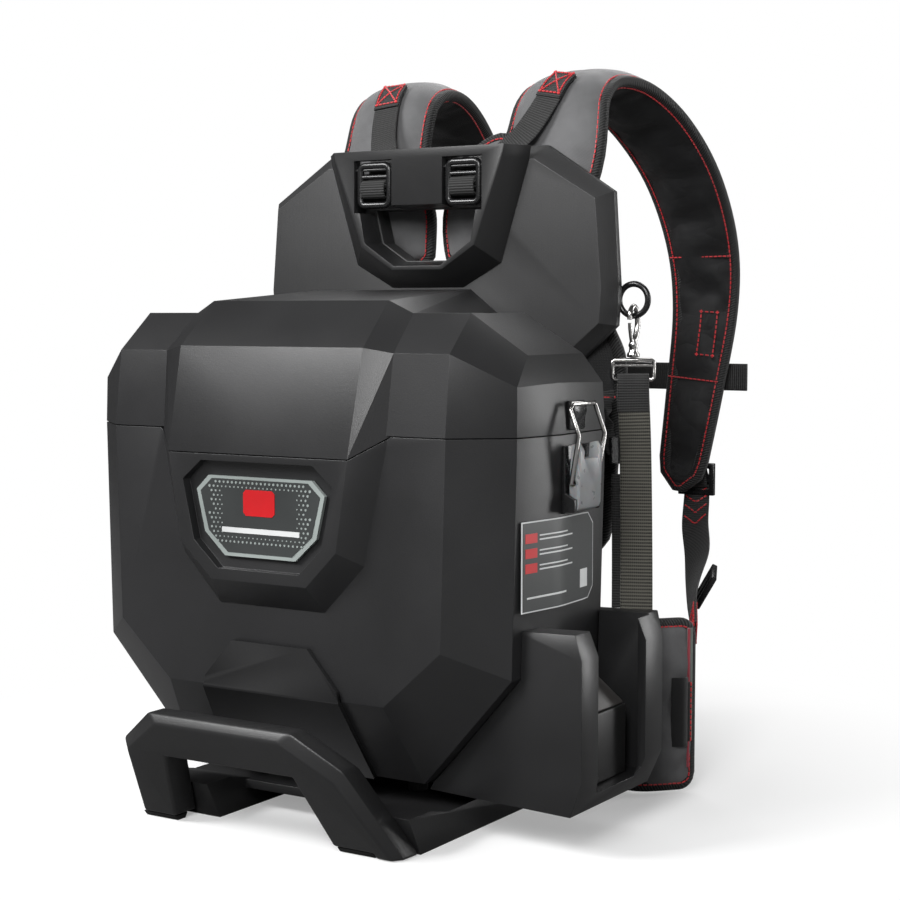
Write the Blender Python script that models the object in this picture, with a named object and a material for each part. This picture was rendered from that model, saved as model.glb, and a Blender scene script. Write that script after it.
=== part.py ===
"""Backpack power unit: a lidded battery case on a moulded back frame, with a padded harness.

Design numbers are millimetres in the design frame: X = 0 is the case's centre plane, Y = 0 is the
line through the two front feet, Y grows towards the wearer, and Z = 0 is the ground. metres()
moves a point to the part's own frame, whose origin is the centre of the foot of the whole box.
"""
import math

import bmesh
import bpy
from mathutils import Matrix, Vector

MM = 0.001
GAP = 0.4                 # clearance between neighbouring solids
SIDES = (("left", -1), ("right", 1))

# driving dimensions
POCKET_OUTER = 249.0      # the side pocket's outer face, the widest point on the right
WING_OUTER = 229.08       # end of a hip wing, the widest point on the left
BAR_FRONT = -47.0         # front edge of the stand bar
CHEST_Y = 493.5           # sternum strap, just outside the shoulder pads
STRAP_BACK = CHEST_Y + 4.5         # outermost point of the harness, towards the wearer
ORIGIN_X = (POCKET_OUTER - WING_OUTER) / 2
ORIGIN_Y = (BAR_FRONT + STRAP_BACK) / 2

WALL = 4.0                # moulded wall of the case
SEAM_Z = 308.0            # seam between case and lid
TAB_Z = 291.0             # the seam's dip under the lid's centre tab
CASE_FLOOR_Z = 43.0
CASE_REAR_Y = 217.0
LID_TOP_Z = 417.5
CASE_BOW = ((157.6, 24.0), (198.0, 57.0), (205.0, 109.0), (201.0, 188.0), (172.0, CASE_REAR_Y))

PLATE_FRONT_Y, PLATE_REAR_Y = 244.0, 264.0
CROWN_FRONT_Y = 226.0
FRAME_TOP_Z = 537.0
LOCK_X, LOCK_Z = 45.0, 507.0       # centre of a ladder lock in its bay
LOCK_SIZE = 36.0
WEB = 25.0                # harness webbing
HIP_WEB = 50.0            # hip belt webbing
LATCH_Y = 133.0           # centre of the side latches
LEVER_PIVOT = (212.5, 255.0)       # X and Z of the latch lever's axis
BAIL_PIVOT = (212.0, 272.0)        # X and Z of the wire bail's axis
RING_CENTRE = (184.0, 269.0, 409.0)
RING_RADIUS = 13.0
GATE_PIVOT = (184.0, 266.5, 375.0)
EYE_Z = 352.0             # middle of the eye that the hanging strap is sewn to
BELT_Y = 352.0            # hip belt where it is buckled
BELT_Z = 52.0
CHEST_Z = 339.0

LOOKS = {                 # colour, roughness, metallic
    "case_plastic": ((0.018, 0.018, 0.019), 0.42, 0.0),
    "frame_plastic": ((0.035, 0.035, 0.036), 0.48, 0.0),
    "badge": ((0.30, 0.34, 0.33), 0.5, 0.0),
    "rubber": ((0.012, 0.012, 0.012), 0.85, 0.0),
    "steel": ((0.62, 0.62, 0.62), 0.25, 1.0),
    "lever_plastic": ((0.30, 0.31, 0.31), 0.35, 0.0),
    "dock_plastic": ((0.10, 0.095, 0.088), 0.5, 0.0),
    "buckle_plastic": ((0.014, 0.014, 0.015), 0.4, 0.0),
    "pad_grey": ((0.13, 0.13, 0.135), 0.85, 0.0),
    "pad_black": ((0.02, 0.02, 0.021), 0.9, 0.0),
    "webbing": ((0.022, 0.022, 0.02), 0.8, 0.0),
    "battery": ((0.06, 0.12, 0.20), 0.5, 0.0),
    "board": ((0.02, 0.12, 0.05), 0.5, 0.0),
}


# ---------------------------------------------------------------- helpers

def metres(point):
    """A design-frame point in millimetres, as the part's own metres."""
    x, y, z = point
    return Vector(((x - ORIGIN_X) * MM, (y - ORIGIN_Y) * MM, z * MM))


def clear_scene():
    for obj in list(bpy.data.objects):
        bpy.data.objects.remove(obj)


def material(look):
    """The look's Principled material, made once."""
    found = bpy.data.materials.get(look)
    if found:
        return found
    colour, roughness, metallic = LOOKS[look]
    made = bpy.data.materials.new(look)
    made.use_nodes = True
    shader = made.node_tree.nodes["Principled BSDF"]
    shader.inputs["Base Color"].default_value = (*colour, 1.0)
    shader.inputs["Roughness"].default_value = roughness
    shader.inputs["Metallic"].default_value = metallic
    return made


def finish(name, bm, look, pivot=None):
    """Makes the object; a moving piece's origin goes to its pivot."""
    bmesh.ops.recalc_face_normals(bm, faces=bm.faces)
    mesh = bpy.data.meshes.new(name)
    bm.to_mesh(mesh)
    bm.free()
    obj = bpy.data.objects.new(name, mesh)
    bpy.context.collection.objects.link(obj)
    if look:
        mesh.materials.append(material(look))
    if pivot:
        at = metres(pivot)
        mesh.transform(Matrix.Translation(-at))
        obj.location = at
    return obj


def mirrored(points):
    """The points, and their mirror images in X."""
    return [*points, *((-x, y, z) for x, y, z in points)]


def hull(name, points, look=None, pivot=None):
    """The convex solid around some points, with flat faces kept whole."""
    bm = bmesh.new()
    for point in points:
        bm.verts.new(metres(point))
    made = bmesh.ops.convex_hull(bm, input=bm.verts)
    spare = {v for v in made["geom_interior"] + made["geom_unused"] if isinstance(v, bmesh.types.BMVert)}
    bmesh.ops.delete(bm, geom=list(spare), context="VERTS")
    bmesh.ops.dissolve_limit(bm, angle_limit=math.radians(0.8), verts=bm.verts, edges=bm.edges)
    return finish(name, bm, look, pivot)


def block(name, low, high, look=None, pivot=None):
    """An upright box between two corners."""
    corners = [(x, y, z) for x in (low[0], high[0]) for y in (low[1], high[1]) for z in (low[2], high[2])]
    return hull(name, corners, look, pivot)


def loft(name, rings, look=None, pivot=None, closed=False):
    """A skin over rings of equal length, capped unless it closes on itself."""
    bm = bmesh.new()
    rows = [[bm.verts.new(metres(point)) for point in ring] for ring in rings]
    pairs = list(zip(rows, rows[1:] + rows[:1] if closed else rows[1:]))
    for near, far in pairs:
        for i in range(len(near)):
            j = (i + 1) % len(near)
            bm.faces.new((near[i], near[j], far[j], far[i]))
    if not closed:
        bm.faces.new(rows[0][::-1])
        bm.faces.new(rows[-1])
    return finish(name, bm, look, pivot)


def prism(name, outline, low, high, axis="Y", look=None, pivot=None):
    """An outline extruded along one axis between two levels."""
    place = {
        "X": lambda a, b, level: (level, a, b),
        "Y": lambda a, b, level: (a, level, b),
        "Z": lambda a, b, level: (a, b, level),
    }[axis]
    return loft(name, [[place(a, b, level) for a, b in outline] for level in (low, high)], look, pivot)


def rod(name, start, end, radius, look=None, sides=12, pivot=None):
    """A round bar between two points."""
    return swept(name, [start, end], ring_section(radius, sides), look, pivot=pivot)


def ring_section(radius, sides):
    """A round section, as (across, up) pairs."""
    steps = [2 * math.pi * i / sides for i in range(sides)]
    return [(radius * math.cos(a), radius * math.sin(a)) for a in steps]


def flat_section(width, thickness):
    """A rectangular section, as (across, up) pairs."""
    w, t = width / 2, thickness / 2
    return [(-w, -t), (w, -t), (w, t), (-w, t)]


def swept(name, path, section, look=None, across=None, closed=False, pivot=None):
    """A section carried along a path; across holds each stop's width direction."""
    points = [Vector(p) for p in path]
    rings = []
    for i, point in enumerate(points):
        before = points[i - 1] if i or closed else point
        after = points[(i + 1) % len(points)] if i + 1 < len(points) or closed else point
        along = (after - before).normalized()
        side = Vector(across[i]) if across else along.orthogonal()
        if not across and rings:
            side = last
        side = (side - along * side.dot(along)).normalized()
        last = side
        up = along.cross(side)
        shape = section(i) if callable(section) else section
        rings.append([point + side * a + up * b for a, b in shape])
    return loft(name, rings, look, pivot, closed)


def smooth(points, steps):
    """A Catmull-Rom curve through points of any dimension, with steps per span."""
    ends = [[2 * a - b for a, b in zip(points[0], points[1])],
            *points,
            [2 * a - b for a, b in zip(points[-1], points[-2])]]
    curve = []
    for p0, p1, p2, p3 in zip(ends, ends[1:], ends[2:], ends[3:]):
        for k in range(steps):
            t = k / steps
            curve.append([
                0.5 * (2 * b + (c - a) * t + (2 * a - 5 * b + 4 * c - d) * t ** 2 + (3 * b - a - 3 * c + d) * t ** 3)
                for a, b, c, d in zip(p0, p1, p2, p3)
            ])
    return curve + [list(points[-1])]


def boolean(target, tool, operation):
    """Joins or cuts with a tool that the build leaves out."""
    tool.hide_render = True
    tool.display_type = "WIRE"
    step = target.modifiers.new(tool.name, "BOOLEAN")
    step.operation = operation
    step.solver = "EXACT"
    step.object = tool
    return target


def cut(target, *tools):
    for tool in tools:
        boolean(target, tool, "DIFFERENCE")
    return target


def join(target, *tools):
    for tool in tools:
        boolean(target, tool, "UNION")
    return target


# ---------------------------------------------------------------- case

def bow(z, inset=0.0, shrink=0.0):
    """The case outline's right half at one height, moved in by inset and narrowed by shrink."""
    points = []
    for x, y in CASE_BOW:
        inward = -inset if y > CASE_REAR_Y - 1 else (inset if y < 60 else 0)
        points.append((x - inset - shrink, y + inward, z))
    return points


def case_points(inset=0.0):
    """The tub: upright above the kink, tapering below it to a narrow floor."""
    front = 24.0 + inset
    floor = CASE_FLOOR_Z + inset
    half = [
        *bow(SEAM_Z + (30 if inset > 0 else 0), inset),
        (153 - inset, front, 152), *bow(131, inset, 4.0)[1:],
        (103 - inset / 2, front, 107),
        (115 - inset, 62 + inset / 2, floor), (115 - inset, CASE_REAR_Y - 8 - inset, floor),
    ]
    return mirrored(half)


def boss_points():
    """The raised shield on the front that carries the badge."""
    return mirrored([
        (85, 4.5, TAB_Z), (110, 26, SEAM_Z), (74, 5, 222), (45, 7, 194),
        (88, 26, 210), (50, 22, 175), (50, 30, 168), (110, 40, SEAM_Z), (88, 40, 210),
    ])


def make_lower_case():
    case = hull("lower_case", case_points(), "case_plastic")
    join(case, hull("boss_form", boss_points()))
    cut(case, hull("case_bay", case_points(WALL)))
    notch = [(-115, SEAM_Z + 9), (-110, SEAM_Z), (-85, TAB_Z), (85, TAB_Z), (110, SEAM_Z), (115, SEAM_Z + 9)]
    cut(case, prism("tab_notch", notch, -5, 44))
    recess = mirrored([(53, 0, 285.8), (71.3, 0, 270.6), (60.9, 0, 224), (38.6, 0, 203)])
    recess = [(x, y, z) for x, _, z in recess for y in (-5, 13)]
    cut(case, hull("badge_recess", recess))
    cut(case, block("socket_port", (100, 124, 62), (215, 158, 92)))
    for side, sign in SIDES:
        cut(case, rod(f"mount_bore_{side}", (sign * 79, 108, 30), (sign * 79, 108, 52), 3.4))
    return case


def lid_points(inset=0.0):
    """The lid's main form."""
    top = 398.5 - inset
    half = [
        *bow(SEAM_Z + 0.8 - (20 if inset > 0 else 0), inset),
        (157 - inset, 31 + inset, 369 - inset), (197.5 - inset, 58 + inset, 345),
        (203 - inset, 109, 347), (199.5 - inset, 186, 345), (170 - inset, CASE_REAR_Y - 2 - inset, 345),
        (190 - inset, 86, 367.5 - inset), (188 - inset, 174, 367.5 - inset),
        (155 - inset, 64, top), (151 - inset, 148, top), (120 - inset, 202 - inset, top),
    ]
    return mirrored(half)


def ridge_points(inset=0.0):
    """The lid's raised centre, whose tab reaches down over the case's front."""
    foot = TAB_Z + 0.8
    half = [
        (85 - inset, 4.5 + inset, foot - inset), (85 - inset, 30, foot - inset),
        (109.5 - inset, 26.5 + inset, SEAM_Z + 0.8), (109.5 - inset, 40, SEAM_Z + 0.8),
        (87 - inset, 22.5 + inset, 373 - inset), (108.5 - inset, 31 + inset, 369 - inset),
        (84.5 - inset, 60.5 + inset / 2, 408 - inset), (105 - inset, 64 + inset / 2, 398 - inset),
        (78 - inset, 188, LID_TOP_Z - inset), (98 - inset, 195, 399 - inset),
        (74 - inset, 212 - inset, 408 - inset), (92 - inset, 214 - inset, 380),
    ]
    return mirrored(half)


def make_lid():
    lid = hull("lid", lid_points(), "case_plastic")
    join(lid, hull("ridge_form", ridge_points()))
    cut(lid, hull("lid_bay", lid_points(WALL)), hull("ridge_bay", ridge_points(WALL)))
    return lid


def make_gasket():
    """A sealing ring inside the lid's skirt, clear of the case's wall."""
    outer = [(x, y) for x, y, _ in bow(0, WALL + 2.4)]
    inner = [(x, y) for x, y, _ in bow(0, WALL + 6.6)]
    rings = []
    for outline, z in ((outer, 301), (outer, 311), (inner, 311), (inner, 301)):
        loop = [*outline, *((-x, y) for x, y in reversed(outline))]
        rings.append([(x, y, z) for x, y in loop])
    return loft("lid_gasket", rings, "rubber", closed=True)


def make_case_front():
    """The badge in its recess, and the hatch that follows the case's lower bend."""
    badge = mirrored([(49.5, 0, 274), (61.2, 0, 263), (53.3, 0, 230.4), (33.7, 0, 212.7)])
    hull("badge_plate", [(x, y, z) for x, _, z in badge for y in (9.5, 12.6)], "badge")
    upper = mirrored([(36.3, 0, 145), (63.3, 0, 115), (65.5, 0, 106.6)])
    hatch = hull("hatch_cover", [(x, y, z) for x, _, z in upper for y in (19.5, 23.6)], "case_plastic")
    slope = [(65.2, 19.5, 109), (65.4, 23.6, 107), (65.5, 19.5, 105.8), (72, 57.4, 42), (72, 61.2, 43.6)]
    join(hatch, hull("hatch_slope", mirrored(slope)))


def make_pocket():
    """The open-topped dock on the right side, and what it holds."""
    inner, outer = 112, POCKET_OUTER
    shell = hull("side_pocket", [
        (186, 68, 166), (241.5, 66, 168), (outer, 62, 150), (outer, 62, 60), (238, 66, 34), (inner, 74, 36),
        (186, 200, 166), (241.5, 200, 168), (outer, 194, 150), (outer, 194, 60), (238, 192, 34), (inner, 192, 36),
    ], "case_plastic")
    cut(shell, hull("case_room", case_points(-GAP)))
    cut(shell, block("dock_bay", (176, 88, 46), (242, 184, 190)))
    cut(shell, prism("dock_window", [(88, 190), (88, 60), (96, 46), (158, 46), (165, 52), (165, 190)], 230, 270, "X"))
    cut(shell, block("lead_bore", (120, 126, 64), (190, 156, 90)))
    hull("dock_block", [(x, y, z) for x in (193, 232) for y in (110, 166) for z in (46.4, 100)], "dock_plastic")
    ramp = [(232, 110), (232, 164)]
    hull("dock_ramp", [*((x, y, 100.4) for x, y in [(206, 110), (206, 164), *ramp]),
                       (207, 110, 131), (207, 140, 131), (214, 110, 131), (214, 138, 131)], "dock_plastic")


def make_insides():
    """Battery modules in their tray, the control board, and the lead out to the dock."""
    tray = block("battery_tray", (-101, 68, 48), (101, 201, 55), "case_plastic")
    join(tray, block("tray_rib", (-2.5, 72, 52), (2.5, 196, 110)))
    for side, sign in SIDES:
        x = sorted((sign * 5, sign * 128))
        hull(f"battery_module_{side}", [
            (x[0], 48, 150), (x[1], 48, 150), (x[0], 48, 268), (x[1], 48, 268), (x[0], 196, 268), (x[1], 196, 268),
            (sign * 5, 74, 57), (sign * 98, 74, 57), (sign * 5, 196, 57), (sign * 98, 196, 57),
            (sign * 128, 196, 150),
        ], "battery")
    board = block("control_board", (-110, 60, 272), (110, 180, 274.5), "board")
    join(board, block("board_driver", (-70, 90, 274), (-20, 140, 288)), block("board_relay", (30, 80, 274), (62, 120, 292)))
    block("output_socket", (118, 127, 65), (192.6, 155, 89), "dock_plastic")
    route = smooth([(126.3, 141, 90.4), (131, 141, 106), (142, 143, 132), (152, 146, 180), (153, 150, 235), (148, 150, 264),
                    (136, 150, 277), (114, 150, 279.5), (92, 150, 279.5)], 3)
    swept("power_lead", route, ring_section(3.0, 8), "rubber")


# ---------------------------------------------------------------- latches

def sorted_corners(a, b):
    """The low and high corners of the box between two points."""
    return tuple(map(min, a, b)), tuple(map(max, a, b))


def make_latch(side, sign):
    """A draw latch: base on the case, lever, wire bail and the catch on the lid."""
    def at(x, y, z):
        return (sign * x, LATCH_Y + y, z)

    lever_x, lever_z = LEVER_PIVOT
    bail_x, bail_z = BAIL_PIVOT
    plate_face, arm, slot, wire, pin = 207.0, 17.0, 11.0, 1.8, 1.6
    ear_in, ear_out = arm + 0.6, arm + 4.0

    plate = [at(x, y, z) for x in (199, plate_face) for y in (-ear_out, ear_out) for z in (249, 300)]
    base = hull(f"latch_base_{side}", plate, "buckle_plastic")
    for y in (-ear_out, ear_in):
        profile = [(204, 250), (204, 266), (lever_x + 3, 260), (lever_x + 3, 251)]
        ear = [at(x, y + d, z) for x, z in profile for d in (0, ear_out - ear_in)]
        join(base, hull(f"latch_ear_{side}_{y:.0f}", ear))
        inward = -1 if y > 0 else 1
        start = y + (ear_out - ear_in) / 2
        join(base, rod(f"latch_pin_{side}_{y:.0f}", at(lever_x, start, lever_z), at(lever_x, start + 7 * inward, lever_z), pin))
    cut(base, hull(f"latch_seat_{side}", case_points(-GAP)))

    axis = at(lever_x, 0, lever_z)
    profile = [(209.2, 252.6), (212.5, 250.9), (215.8, 252.6), (217.2, 256), (218.5, 296), (215, 302), (210.6, 301),
               (208.6, 272)]
    lever = hull(f"latch_lever_{side}", [at(x, y, z) for x, z in profile for y in (-arm, arm)], "lever_plastic", pivot=axis)
    cut(lever, block(f"bail_slot_{side}", *sorted_corners(at(204, -slot, 290), at(222, slot, 310))))
    for end in (-1, 1):
        cut(lever,
            rod(f"pin_bore_{side}_{end}", at(lever_x, end * 11.9, lever_z), at(lever_x, end * 24, lever_z), pin + GAP),
            rod(f"bail_bore_{side}_{end}", at(bail_x, end * 11, bail_z), at(bail_x, end * 18.5, bail_z), wire + GAP))

    half = [(bail_x, 11.5, bail_z), (bail_x, 20.5, bail_z), (bail_x + 6.5, 20.5, 308), (bail_x - 0.8, 20.5, 327),
            (bail_x - 0.8, 17.5, 331)]
    route = [at(x, -y, z) for x, y, z in half] + [at(x, y, z) for x, y, z in reversed(half)]
    swept(f"latch_bail_{side}", route, ring_section(wire, 8), "steel", across=[(1, 0, 0)] * len(route),
          pivot=at(bail_x, 0, bail_z))

    foot = [at(x, y, z) for x, z in ((199, 311), (206.5, 311), (206.5, 333), (199, 333)) for y in (-12, 12)]
    catch = hull(f"latch_catch_{side}", foot, "buckle_plastic")
    hook = [(205, 314), (205, 330), (208.8, 330), (208.8, 324)]
    join(catch, hull(f"catch_hook_{side}", [at(x, y, z) for x, z in hook for y in (-10, 10)]))
    cut(catch, hull(f"catch_seat_{side}", lid_points(-GAP)))


# ---------------------------------------------------------------- frame and stand

def make_back_frame():
    """The moulded plate the wearer's side is built on, hollow behind its face."""
    rim = [(109, FRAME_TOP_Z), (171, 497), (176, 419), (174, 388), (142, 360), (126, 330), (118, 60), (112, 6)]
    face = [(104, 525), (161, 491), (167, 419), (165, 390), (136, 366), (118, 334), (110, 64), (106, 12)]

    def ring(half, y):
        return [(x, y, z) for x, z in [*half, *((-x, z) for x, z in reversed(half))]]

    plate = loft("back_frame", [ring(rim, PLATE_REAR_Y), ring(rim, PLATE_REAR_Y - 6), ring(face, PLATE_FRONT_Y)], "frame_plastic")
    hollow = [(x - 6 * (x > 0), z) for x, z in face]
    hollow[0], hollow[-1] = (100, 519), (100, 20)
    cut(plate, loft("frame_hollow", [ring(hollow, PLATE_FRONT_Y + WALL), ring(hollow, PLATE_REAR_Y + 5)]))
    grip = [(92, 531), (70, 440), (40, 423), (-40, 423), (-70, 440), (-92, 531)]
    join(plate, prism("grip_frame", grip, PLATE_FRONT_Y + 2, PLATE_REAR_Y - 2))
    hand = [(53, 487), (46, 459), (21, 443), (-21, 443), (-46, 459), (-53, 487)]
    cut(plate, prism("hand_hole_rear", hand, 230, 280))
    for side, sign in SIDES:
        cut(plate, block(f"strap_slot_{side}", *sorted_corners((sign * 34, 230, 519), (sign * 90, 280, 545))))
    return plate


def make_carry_handle():
    """The crown in front of the plate: a V-shaped grip with a bay for each ladder lock."""
    foot = [(102, 536), (100, 526), (73, 440), (36, 420)]
    ridge = [(86, FRAME_TOP_Z), (84, 527), (57, 455), (25, 435)]
    gap_y = PLATE_FRONT_Y - GAP
    crown = hull("carry_handle", mirrored([*((x, gap_y, z) for x, z in foot), *((x, CROWN_FRONT_Y, z) for x, z in ridge)]),
                 "frame_plastic")
    mouth = mirrored([(60, 0, 490), (54, 0, 458), (23.5, 0, 438), (53, 0, 487), (46, 0, 459), (21, 0, 443)])
    mouth = [(x, CROWN_FRONT_Y - 1 if i % 6 < 3 else PLATE_FRONT_Y + 3, z) for i, (x, _, z) in enumerate(mouth)]
    cut(crown, hull("hand_hole_front", mouth))
    for side, sign in SIDES:
        bay = sorted_corners((sign * 25.5, 215, 484), (sign * 64.5, 250, 529))
        cut(crown, block(f"lock_bay_{side}", *bay))
        cut(crown, block(f"strap_way_{side}", *sorted_corners((sign * 24, 236, 484), (sign * 65, 250, 545))),
            block(f"strap_mouth_{side}", *sorted_corners((sign * 60, 236, 518), (sign * 86, 250, 545))))
        join(crown, rod(f"lock_pin_{side}", (sign * 22, 230, 521), (sign * 68, 230, 521), 1.4, sides=8))
    return crown


def make_ladder_lock(side, sign):
    """A strap adjuster that tilts on its pin to let the webbing slip."""
    x, half = sign * LOCK_X, LOCK_SIZE / 2
    lock = block(f"ladder_lock_{side}", (x - half, 226.8, LOCK_Z - half), (x + half, 233.2, 527.2), "buckle_plastic",
                 pivot=(x, 230, 521))
    for i, (low, high) in enumerate(((516.8, 525.2), (503.5, 512.5), (492.5, 500.5))):
        cut(lock, block(f"lock_slot_{side}_{i}", (x - 13.5, 220, low), (x + 13.5, 240, high)))
    cut(lock, rod(f"lock_bore_{side}", (x - 30, 230, 521), (x + 30, 230, 521), 1.9, sides=8))


def make_stand():
    """The sled under the case, and the leaning bar at its front that the unit is dragged by."""
    slope = 0.53

    def lean(x, z, back=0.0):
        return (x, BAR_FRONT + slope * (88.7 - z) + back, z)

    def ring(shoulder, right, left, back, lift):
        outer = [(58.6 + lift, 88.7 + lift), (shoulder, 62 + lift)]
        inner = [(75.5, 8), (60.7, 60.6)]
        foot = 5
        right_half = [*outer, (right, 0.6), (113, 0.6), (112, foot), (76, foot), *inner]
        left_half = [*outer, (left, foot), (76, foot), *inner]
        loop = [lean(x, z, back) for x, z in right_half]
        return loop + [lean(-x, z, back) for x, z in reversed(left_half)]

    loft("stand_bar", [ring(98, 127, 107, 0, 0), ring(104, 133, 113, 8, 8), ring(106, 134, 114, 26, 8)], "case_plastic")
    side_view = [(27.6, 0), (230, 0), (242, 6), (242, 24), (66, 24), (40, 30), (11.6, 30)]
    sled = block("base_sled", (-114, 60, 17), (134, 242, 24), "case_plastic")
    for side, low, high in (("right", 56, 134), ("left", -114, -56)):
        join(sled, prism(f"runner_{side}", side_view, low, high, "X"))
        hollow = sorted(low + (5 if side == "right" else 5) for low in (low, high - 10))
        cut(sled, block(f"runner_hollow_{side}", (hollow[0], 60, -3), (hollow[1], 225, 17)))
    bolt = 3.4
    for side, sign in SIDES:
        x = sign * 79
        cut(sled, rod(f"sled_bore_{side}", (x, 108, 10), (x, 108, 30), bolt))
        mount = rod(f"case_mount_{side}", (x, 108, 24 + GAP), (x, 108, CASE_FLOOR_Z - GAP), 8.0, "rubber", 16)
        join(mount, rod(f"mount_stud_{side}", (x, 108, 20), (x, 108, 46.5), bolt - GAP))
        foot = [(sign * px, py, pz) for px in (78, 111) for py, pz in ((-1, 4.6), (15, 4.6), (3, 0), (12, 0))]
        hull(f"foot_front_{side}", foot, "rubber")


# ---------------------------------------------------------------- harness

def make_pads():
    """Back and lumbar pads, hip wings, and the two shoulder pads that arch over the frame."""
    back = [(120, 196), (158, 204), (173, 352), (158, 388), (152, 424), (70, 429)]
    back = [*back, *((-x, z) for x, z in reversed(back))]
    prism("back_pad", back, PLATE_REAR_Y + 2, PLATE_REAR_Y + 24, look="pad_black")
    lumbar = [(146, 40), (150, 120), (140, 186)]
    lumbar = [*lumbar, *((-x, z) for x, z in reversed(lumbar))]
    prism("lumbar_pad", lumbar, PLATE_REAR_Y + 2, PLATE_REAR_Y + 26, look="pad_black")
    for side, sign in SIDES:
        plan = [(154, 278), (176, 268), (195, 268.5), (217, 290), (223, 297)]
        path = [(sign * x, y, 75) for x, y in plan]
        swept(f"hip_wing_{side}", path, flat_section(142, 16), "pad_grey", across=[(0, 0, 1)] * len(path))
        # y, z, thickness, then x and width on the right and on the left
        stops = [
            (277, 442, 18, (66, 144), (75, 125)), (277, 488, 20, (68, 148), (75, 127)), (283, 530, 22, (98, 100), (71, 90)),
            (298, 576, 22, (101, 86), (70, 84)), (326, 593, 22, (104, 82), (70, 82)), (366, 588, 22, (116, 78), (71, 78)),
            (408, 562, 20, (131, 74), (73, 74)), (446, 518, 20, (144, 70), (75, 70)), (473, 460, 18, (151, 66), (77, 66)),
            (485, 400, 18, (149, 60), (78, 60)), (476.5, 325, 17, (143, 52), (79, 52)), (468, 238, 16, (133, 42), (80, 42)),
        ]
        line = smooth([(*stop[3 if sign > 0 else 4], *stop[:3]) for stop in stops], 3)
        swept(f"shoulder_pad_{side}", [(sign * x, y, z) for x, _, y, z, _ in line],
              lambda i, line=line: cushion_section(line[i][1], line[i][4]), "pad_grey", across=[(1, 0, 0)] * len(line))


def cushion_section(width, thickness):
    """A pad's section: thick in the middle and thinner at its bound edges."""
    w, t, e = width / 2, thickness / 2, thickness / 4
    return [(-w, -e), (-0.6 * w, -t), (0.6 * w, -t), (w, -e), (w, e), (0.6 * w, t), (-0.6 * w, t), (-w, e)]


def make_straps():
    """Load lifters, sternum strap, lower straps with their adjusters, and the hip belt."""
    fall = [(285.5, 589), (272, 566), (264.5, 545), (257, 533.5), (249, 528.5), (242.5, 522), (239.6, 508), (238.6, 494)]
    lifter_x = {"left": (66, 60, 56, 53, 50, 47, LOCK_X, LOCK_X), "right": (92, 81, 72, 64, 56, 48, LOCK_X, LOCK_X)}
    tip_x = {"left": 83, "right": 143}
    lower = {
        "left": [(83, 483, 221, 1, 0, 0), (91, 474, 206, 1, 0.1, 0), (114, 456, 192, 1, 0.2, 0.3),
                 (148, 431, 178, 1, 0.3, 0.8), (172, 407, 168, 0.8, 0.2, 1)],
        "right": [(143, 483, 225, 1, 0, 0), (150, 466, 203, 1, 0.2, 0.1), (167, 434, 181, 1, 0.4, 0.6)],
    }
    for side, sign in SIDES:
        route = smooth([(x, y, z) for x, (y, z) in zip(lifter_x[side], fall)], 2)
        swept(f"lifter_strap_{side}", [(sign * x, y, z) for x, y, z in route], flat_section(WEB, 1.8), "webbing",
              across=[(1, 0, 0)] * len(route))
        x = tip_x[side]
        tip = hull(f"tip_buckle_{side}", [(sign * (x + dx), y, z) for dx in (-18, 18) for y in (481, 486) for z in (229, 259)],
                   "buckle_plastic")
        for i, z in enumerate((234, 247)):
            cut(tip, block(f"tip_slot_{side}_{i}", *sorted_corners((sign * (x - 13), 470, z), (sign * (x + 13), 490, z + 7))))
        route = [*lower[side], (186, 386, 158, 0.6, 0, 1), (205, 344, 146, 0.2, 0, 1), (219, 318, 130, 0, 0, 1)]
        route = smooth(route, 3)
        swept(f"lower_strap_{side}", [(sign * p[0], *p[1:3]) for p in route], flat_section(WEB, 2.0), "webbing",
              across=[(sign * p[3], *p[4:6]) for p in route])
        centre, along, wide = Vector((194, 394, 158)), Vector((-0.37, 0.88, 0.3)).normalized(), Vector((0.5, 0, 0.87))
        wide = (wide - along * wide.dot(along)).normalized()
        thick = along.cross(wide)
        corners = [centre + along * a + wide * b + thick * c for a in (-14, 14) for b in (-17, 17) for c in (-2.5, 2.5)]
        buckle = hull(f"lower_buckle_{side}", [(sign * x, y, z) for x, y, z in corners], "buckle_plastic")
        for i, a in enumerate((-9.5, 2.5)):
            slot = [centre + along * (a + da) + wide * b + thick * c for da in (0, 7) for b in (-13, 13) for c in (-8, 8)]
            cut(buckle, hull(f"lower_slot_{side}_{i}", [(sign * x, y, z) for x, y, z in slot]))
        block(f"sternum_strap_{side}", *sorted_corners((sign * (24.4 if sign > 0 else 38.4), CHEST_Y - 1.2, CHEST_Z - WEB / 2),
                                                       (sign * (188 if sign > 0 else 110), CHEST_Y + 1.2, CHEST_Z + WEB / 2)), "webbing")
        plan = [(199, 312), (171, 329.5), (130, 345), (80, 351.5), (34.4 if sign > 0 else 48.4, BELT_Y)]
        route = smooth(plan, 3)
        swept(f"hip_webbing_{side}", [(sign * x, y, BELT_Z) for x, y in route], flat_section(HIP_WEB, 2.2), "webbing",
              across=[(0, 0, 1)] * len(route))
    make_buckle("sternum", CHEST_Y, CHEST_Z, 24, 38, 17, 4.5)
    make_buckle("hip", BELT_Y, BELT_Z, 34, 48, 30, 6.5)


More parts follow.
